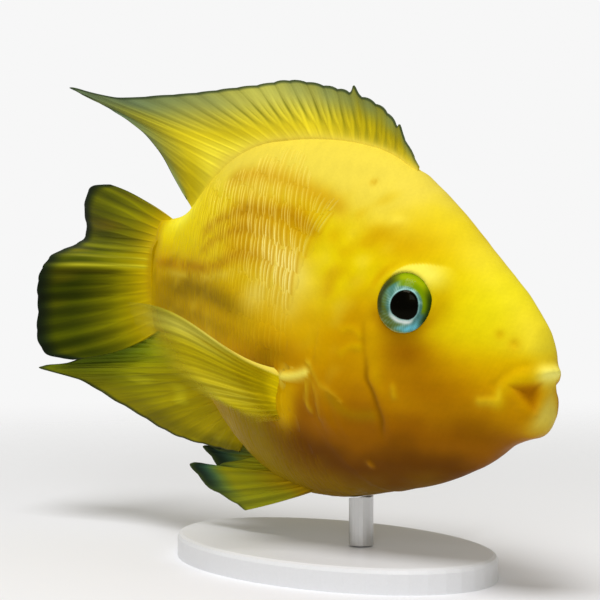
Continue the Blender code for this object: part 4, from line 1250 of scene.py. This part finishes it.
def pectoral_clear(u, v, far):
    """Solid at the root and upper edge, and thinner between the rays and toward the tips."""
    solid = 0.65 + 0.30 * bump(u - 0.04, 0.16) + 0.20 * bump(far, 0.18)
    solid = solid - 0.30 * soft_step(u, 0.60, 1.0)
    solid = np.clip(solid + soft_step(v, 0.35, 0.05), 0.06, 1)
    solid = solid * (1 - 0.9 * soft_step(u - 0.15 * (1 - v), 0.72, 0.98))
    return np.clip(solid * (1 - 0.93 * soft_step(v, 0.68, 0.98)), 0.03, 1)


def pelvic_colour(u, v, far, units):
    """Yellow green, with teal and nearly black tips."""
    streak = 0.5 + 0.5 * wobble(np.stack((u * 3.0, v * 0.15, 0 * u), axis=-1), 0.25, 35)
    colour = toward(paint(164, 130, 0) * np.ones(units.shape), paint(148, 144, 14),
                    soft_step(v, 0.2, 0.6))
    colour = toward(colour, paint(150, 156, 30), 0.6 * bump(u, 0.22) * soft_step(v, 0.2, 0.4))
    point = bump(u - 0.50, 0.26)
    colour = toward(colour, paint(48, 96, 84), 0.9 * soft_step(v, 0.68, 0.90) * point)
    colour = toward(colour, paint(12, 24, 20), 0.95 * soft_step(v, 0.80, 0.98) * point)
    colour = toward(colour, paint(70, 84, 30), 0.7 * soft_step(v, 0.93, 1.0))
    return colour * (0.80 + 0.32 * streak)[..., None]


PELVIC_SWING = {"left": 0.068, "right": 0.0}
for side, word in ((1, "left"), (-1, "right")):
    pectoral_root = line_through(((0.446, side * 0.147, -0.053), (0.462, side * 0.145, -0.075),
                                  (0.472, side * 0.140, -0.100), (0.474, side * 0.133, -0.128)))
    pectoral_margin = line_through((
        (0.662, side * 0.318, 0.050), (0.648, side * 0.309, 0.018),
        (0.632, side * 0.298, -0.014), (0.608, side * 0.280, -0.048),
        (0.570, side * 0.253, -0.080), (0.520, side * 0.219, -0.110),
        (0.475, side * 0.188, -0.128),
    ))
    pectoral_bend = line_through(((0, side * 0.008, 0.008), (0, side * 0.008, 0.006),
                                  (0, side * 0.008, -0.002), (0, side * 0.008, -0.002)))
    make_fin("pectoral_fin_" + word, 13, sunk(pectoral_root, (0, -side, 0)), pectoral_margin,
             pectoral_bend, fade(0.012, 0.012, 1), 0.0044, pectoral_colour, per_ray=18,
             ripple=0.0004, blend=0.06, clear_at=pectoral_clear, ray_height=0.00025, sway=0.012)
    swing = PELVIC_SWING[word]
    moved = np.array((swing, -side * swing * 0.4, swing * 0.22))
    pelvic_root = line_through(((0.450, side * 0.044, -0.246), (0.484, side * 0.034, -0.206)))
    pelvic_margin = line_through(np.array((
        (0.640, side * 0.050, -0.323), (0.690, side * 0.053, -0.311),
        (0.744, side * 0.055, -0.300), (0.792, side * 0.056, -0.268),
        (0.738, side * 0.052, -0.264), (0.706, side * 0.048, -0.250),
        (0.640, side * 0.042, -0.228),
    )) + moved)
    pelvic_bend = line_through(((0, side * 0.004, -0.004), (0, side * 0.004, -0.004)))
    make_fin("pelvic_fin_" + word, 7, pelvic_root, pelvic_margin, pelvic_bend,
             fade(0.02, 0.02, 1), 0.0008, pelvic_colour, per_ray=22, ripple=0.0002)

# %% [markdown]
# ## Eyes
# A fish eye is a shallow dome with a round black pupil that stands a little
# proud. The dome is a profile turned round the eye's axis, so one formula gives
# both eyes. The iris is silvery round the pupil, pale blue below and yellow
# green above, under a clear coat.

# %% Both eyes
PUPIL = 0.47
GAZE = (0.32, -0.16)


def from_pupil(x, y):
    """Off-centre radius and turn: 0 at the pupil's middle and 1 at the rim."""
    dx, dy = x - GAZE[0], y - GAZE[1]
    square = dx * dx + dy * dy
    dot = GAZE[0] * dx + GAZE[1] * dy
    room = 1 - GAZE[0] ** 2 - GAZE[1] ** 2
    return (dot + np.sqrt(dot * dot + square * room)) / room, np.arctan2(dy, dx)


def turned(turn, degrees, first, full):
    """Soft share round the eye: cosine of the turn from a middle, from first to full."""
    return soft_step(np.cos(turn - math.radians(degrees)), first, full)


def iris_colour(radius, turn):
    """Silver crescent, grey teal iris with fibres, green brow, a rim dark in front and a painted shadow
    at the upper back under the fold.
    """
    fibre = 0.5 + 0.5 * np.sin(turn * 37 + 9 * radius) * np.sin(turn * 23 - 12 * radius)
    cloud = 0.5 + 0.5 * np.sin(turn * 3 + 1.0) * np.sin(turn * 5 + 7 * radius)
    colour = toward(paint(74, 124, 112) * np.ones(radius.shape + (3,)), paint(188, 224, 216),
                    0.85 * fibre * cloud)
    colour = toward(colour, paint(96, 104, 24), 0.90 * turned(turn, 206, 0.40, 0.92)
                    * soft_step(radius, 0.52, 0.68) * (1 - 0.45 * fibre))
    colour = toward(colour, paint(60, 112, 116), 0.60 * turned(turn, -40, 0.50, 0.95))
    colour = toward(colour, paint(112, 206, 232), 0.90 * turned(turn, -82, 0.55, 0.98)
                    * bump(radius - 0.81, 0.14) * (0.70 + 0.45 * fibre))
    ring = PUPIL * (1 - 0.03 * np.cos(2 * turn) + 0.025 * np.cos(3 * turn + 2.0)
                    - 0.07 * turned(turn, 236, 0.80, 1.0))
    colour = toward(colour, paint(168, 216, 220), 0.62 * bump(radius - ring - 0.026, 0.022)
                    * (0.75 + 0.5 * cloud))
    crescent = turned(turn, 246, 0.42, 0.97)
    colour = toward(colour, paint(236, 246, 244), 0.95 * crescent
                    * bump(radius - ring - 0.035 - 0.060 * crescent, 0.030 + 0.052 * crescent))
    upper = turned(turn, 52, 0.15, 0.62) * soft_step(radius, 0.56, 0.64)
    upper = np.maximum(upper, turned(turn, 98, 0.50, 0.90) * soft_step(radius, 0.70, 0.80))
    colour = toward(colour, paint(112, 144, 2), upper)
    colour = toward(colour, paint(170, 182, 0), 0.7 * upper * bump(radius - 0.84, 0.10)
                    * turned(turn, 75, 0.2, 0.9))
    colour = toward(colour, paint(34, 54, 8), 0.90 * turned(turn, -2, 0.25, 0.90)
                    * soft_step(radius, 0.64, 0.86))
    # Painted shadow: dark rim at the upper back of the iris, under the fold over the eye.
    colour = toward(colour, paint(48, 54, 20), 0.88 * turned(turn, 158, 0.70, 0.97)
                    * soft_step(radius, 0.68, 0.82))
    colour = toward(colour, paint(188, 190, 120), 0.70 * turned(turn, 252, 0.45, 0.90)
                    * soft_step(radius, 0.90, 0.95))
    return light(toward(colour, paint(0, 0, 0), soft_step(radius, ring + 0.012, ring - 0.012)))


eye_look = wet_material("glossy_eye", 5000.0, 0.00001, 0.30, 0.05, 0.03)
eye_look.node_tree.nodes["Principled BSDF"].inputs["Coat Roughness"].default_value = 0.03
steps = np.linspace(0, math.pi, 150)[1:-1]
turns = np.linspace(0, 2 * math.pi, 168, endpoint=False)
for side, word in ((1, "left"), (-1, "right")):
    radius = np.sin(steps)[:, None] + 0 * turns
    front = steps[:, None] < math.pi / 2
    seen, seen_turn = from_pupil(radius * np.cos(turns), radius * np.sin(turns))
    dome = np.cos(steps)[:, None] * EYE_HALF_DEPTH + 0 * turns
    ring = np.where(front, 0.00012 * soft_step(seen, PUPIL + 0.03, PUPIL - 0.06)
                    - 0.00016 * bump(seen - 0.68, 0.12), 0)
    out = dome + ring
    across, up = radius * EYE_RADIUS * np.cos(turns), radius * EYE_RADIUS * np.sin(turns)
    points = (out[..., None] * EYE_OUT - across[..., None] * EYE_ACROSS
              + up[..., None] * EYE_UP)
    tips = np.array((EYE_OUT * EYE_HALF_DEPTH, EYE_OUT * -EYE_HALF_DEPTH))
    points = (np.vstack((points.reshape(-1, 3), tips)) + place(*EYE)) * (1, side, 1)
    colours = iris_colour(np.where(front, seen, 1.0), seen_turn)
    colours = np.vstack((colours.reshape(-1, 3), light(np.array((paint(3, 5, 6),) * 2))))
    count = radius.size
    ids = np.arange(count).reshape(radius.shape)
    ids = np.vstack((np.full(turns.size, count), ids, np.full(turns.size, count + 1)))
    make_piece("eye_" + word, points, grid_faces(ids, ring=True), colours, eye_look,
               takes=("eye_" + word,))

# %% [markdown]
# ## Stand
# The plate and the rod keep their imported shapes. The plate is satin acrylic with
# faint mottling, and the rod is steel, brushed along its length: noise that is
# stretched along the rod changes the gloss from line to line.


# %% Stand materials
def stand_material(name, colour, metallic, rough, stretch, variation):
    """Principled shader whose gloss, tone and bump follow stretched noise."""
    look = bpy.data.materials.new(name)
    look.use_nodes = True
    nodes, links = look.node_tree.nodes, look.node_tree.links
    shader = nodes["Principled BSDF"]
    where = nodes.new("ShaderNodeTexCoord")
    fit = nodes.new("ShaderNodeMapping")
    fit.inputs["Scale"].default_value = stretch
    noise = nodes.new("ShaderNodeTexNoise")
    noise.inputs["Detail"].default_value = 6.0
    tone = nodes.new("ShaderNodeMix")
    tone.data_type = "RGBA"
    tone.inputs["A"].default_value = (*(channel * (1 - variation) for channel in colour), 1)
    tone.inputs["B"].default_value = (*(channel * (1 + variation) for channel in colour), 1)
    gloss = nodes.new("ShaderNodeMapRange")
    gloss.inputs["To Min"].default_value = rough - 0.10
    gloss.inputs["To Max"].default_value = rough + 0.10
    relief = nodes.new("ShaderNodeBump")
    relief.inputs["Distance"].default_value = 0.00002
    links.new(where.outputs["Object"], fit.inputs["Vector"])
    links.new(fit.outputs["Vector"], noise.inputs["Vector"])
    links.new(noise.outputs["Fac"], tone.inputs["Factor"])
    links.new(noise.outputs["Fac"], gloss.inputs["Value"])
    links.new(noise.outputs["Fac"], relief.inputs["Height"])
    links.new(tone.outputs["Result"], shader.inputs["Base Color"])
    links.new(gloss.outputs["Result"], shader.inputs["Roughness"])
    links.new(relief.outputs["Normal"], shader.inputs["Normal"])
    shader.inputs["Metallic"].default_value = metallic
    return look


plate_look = stand_material("satin_acrylic", (0.76, 0.77, 0.80), 0.0, 0.38, (400, 400, 400), 0.03)
rod_look = stand_material("brushed_steel", (0.60, 0.60, 0.60), 1.0, 0.32, (9000, 9000, 60), 0.12)
for name, look in (("stand_base", plate_look), ("stand_rod", rod_look)):
    frame["nodes"][name].material_slots[0].material = look
    print(name, "is now", look.name)

# %% [markdown]
# ## Floor, light and camera
# The floor and the background are plain and pale. One large soft light hangs
# above and a little in front, so the back is bright and the belly falls into
# shade. The camera stands level with the fish, off its right side and ahead.

# %% Floor
floor_mesh = bpy.data.meshes.new("floor")
reach = 0.40
floor_mesh.from_pydata([(-reach, -reach, 0), (reach, -reach, 0), (reach, reach, 0),
                        (-reach, reach, 0)], [], [(0, 1, 2, 3)])
floor = bpy.data.objects.new("floor", floor_mesh)
bpy.context.scene.collection.objects.link(floor)
floor_look = bpy.data.materials.new("pale_floor")
floor_look.use_nodes = True
floor_nodes, floor_links = floor_look.node_tree.nodes, floor_look.node_tree.links
floor_shader = floor_nodes["Principled BSDF"]
floor_shader.inputs["Base Color"].default_value = (0.82, 0.83, 0.87, 1)
floor_shader.inputs["Roughness"].default_value = 0.9
floor_shader.inputs["Specular IOR Level"].default_value = 0.1
floor_where = floor_nodes.new("ShaderNodeTexCoord")
floor_far = floor_nodes.new("ShaderNodeVectorMath")
floor_far.operation = "LENGTH"
floor_fade = floor_nodes.new("ShaderNodeMapRange")
floor_fade.interpolation_type = "SMOOTHSTEP"
floor_fade.inputs["From Min"].default_value = 0.12
floor_fade.inputs["From Max"].default_value = 0.39
floor_clear = floor_nodes.new("ShaderNodeBsdfTransparent")
floor_mix = floor_nodes.new("ShaderNodeMixShader")
floor_links.new(floor_where.outputs["Object"], floor_far.inputs[0])
floor_links.new(floor_far.outputs["Value"], floor_fade.inputs["Value"])
floor_links.new(floor_fade.outputs["Result"], floor_mix.inputs["Fac"])
floor_links.new(floor_shader.outputs["BSDF"], floor_mix.inputs[1])
floor_links.new(floor_clear.outputs["BSDF"], floor_mix.inputs[2])
floor_links.new(floor_mix.outputs["Shader"], floor_nodes["Material Output"].inputs["Surface"])
floor_mesh.materials.append(floor_look)
print("floor reaches", reach, "m each way")


# %% Light
def soft_light(name, where, aim, size, power):
    """Square area light at a place in metres, turned toward another place."""
    lamp = bpy.data.lights.new(name, "AREA")
    lamp.size, lamp.energy = size, power
    lit = bpy.data.objects.new(name, lamp)
    lit.location = where
    lit.rotation_euler = (Vector(aim) - Vector(where)).to_track_quat("-Z", "Y").to_euler()
    bpy.context.scene.collection.objects.link(lit)


soft_light("key_light", (0.12, -0.28, 0.90), (0, 0, LIFT), 0.40, 5.9)
soft_light("front_light", (0.70, -0.70, 0.55), (0, 0, LIFT), 0.40, 2.0)
world = bpy.data.worlds.new("pale_world")
world.use_nodes = True
ambient = world.node_tree.nodes["Background"]
ambient.inputs["Strength"].default_value = 0.42
backdrop = world.node_tree.nodes.new("ShaderNodeBackground")
backdrop.inputs["Strength"].default_value = 0.93
path = world.node_tree.nodes.new("ShaderNodeLightPath")
either = world.node_tree.nodes.new("ShaderNodeMixShader")
ambient.inputs["Color"].default_value = (1.0, 0.96, 0.84, 1)
backdrop.inputs["Color"].default_value = (1, 1, 1, 1)
world.node_tree.links.new(path.outputs["Is Camera Ray"], either.inputs["Fac"])
world.node_tree.links.new(ambient.outputs["Background"], either.inputs[1])
world.node_tree.links.new(backdrop.outputs["Background"], either.inputs[2])
world.node_tree.links.new(either.outputs["Shader"],
                          world.node_tree.nodes["World Output"].inputs["Surface"])
bpy.context.scene.world = world
bpy.context.scene.view_settings.view_transform = "Standard"

# %% Camera
VIEW_TURN, VIEW_RISE = math.radians(47.0), math.radians(3.5)
VIEW_DISTANCE, FOCAL_PIXELS = 0.42, 2054.6
PHOTO_SIZE, FISH_CENTRE = 600, (332.25, 337.06)
toward_camera = Vector((math.sin(VIEW_TURN) * math.cos(VIEW_RISE),
                        -math.cos(VIEW_TURN) * math.cos(VIEW_RISE), math.sin(VIEW_RISE)))
lens = bpy.data.cameras.new("camera")
lens.sensor_width = 36.0
lens.lens = FOCAL_PIXELS * lens.sensor_width / PHOTO_SIZE
lens.shift_x = (PHOTO_SIZE / 2 - FISH_CENTRE[0]) / PHOTO_SIZE
lens.shift_y = (FISH_CENTRE[1] - PHOTO_SIZE / 2) / PHOTO_SIZE
lens.clip_start, lens.clip_end = 0.01, 50.0
camera = bpy.data.objects.new("camera", lens)
camera.location = Vector((0, 0, LIFT)) + toward_camera * VIEW_DISTANCE
camera.rotation_euler = (-toward_camera).to_track_quat("-Z", "Y").to_euler()
bpy.context.scene.collection.objects.link(camera)
bpy.context.scene.camera = camera
print(f"lens {lens.lens:.1f} mm, shift {lens.shift_x:.3f} {lens.shift_y:.3f}")
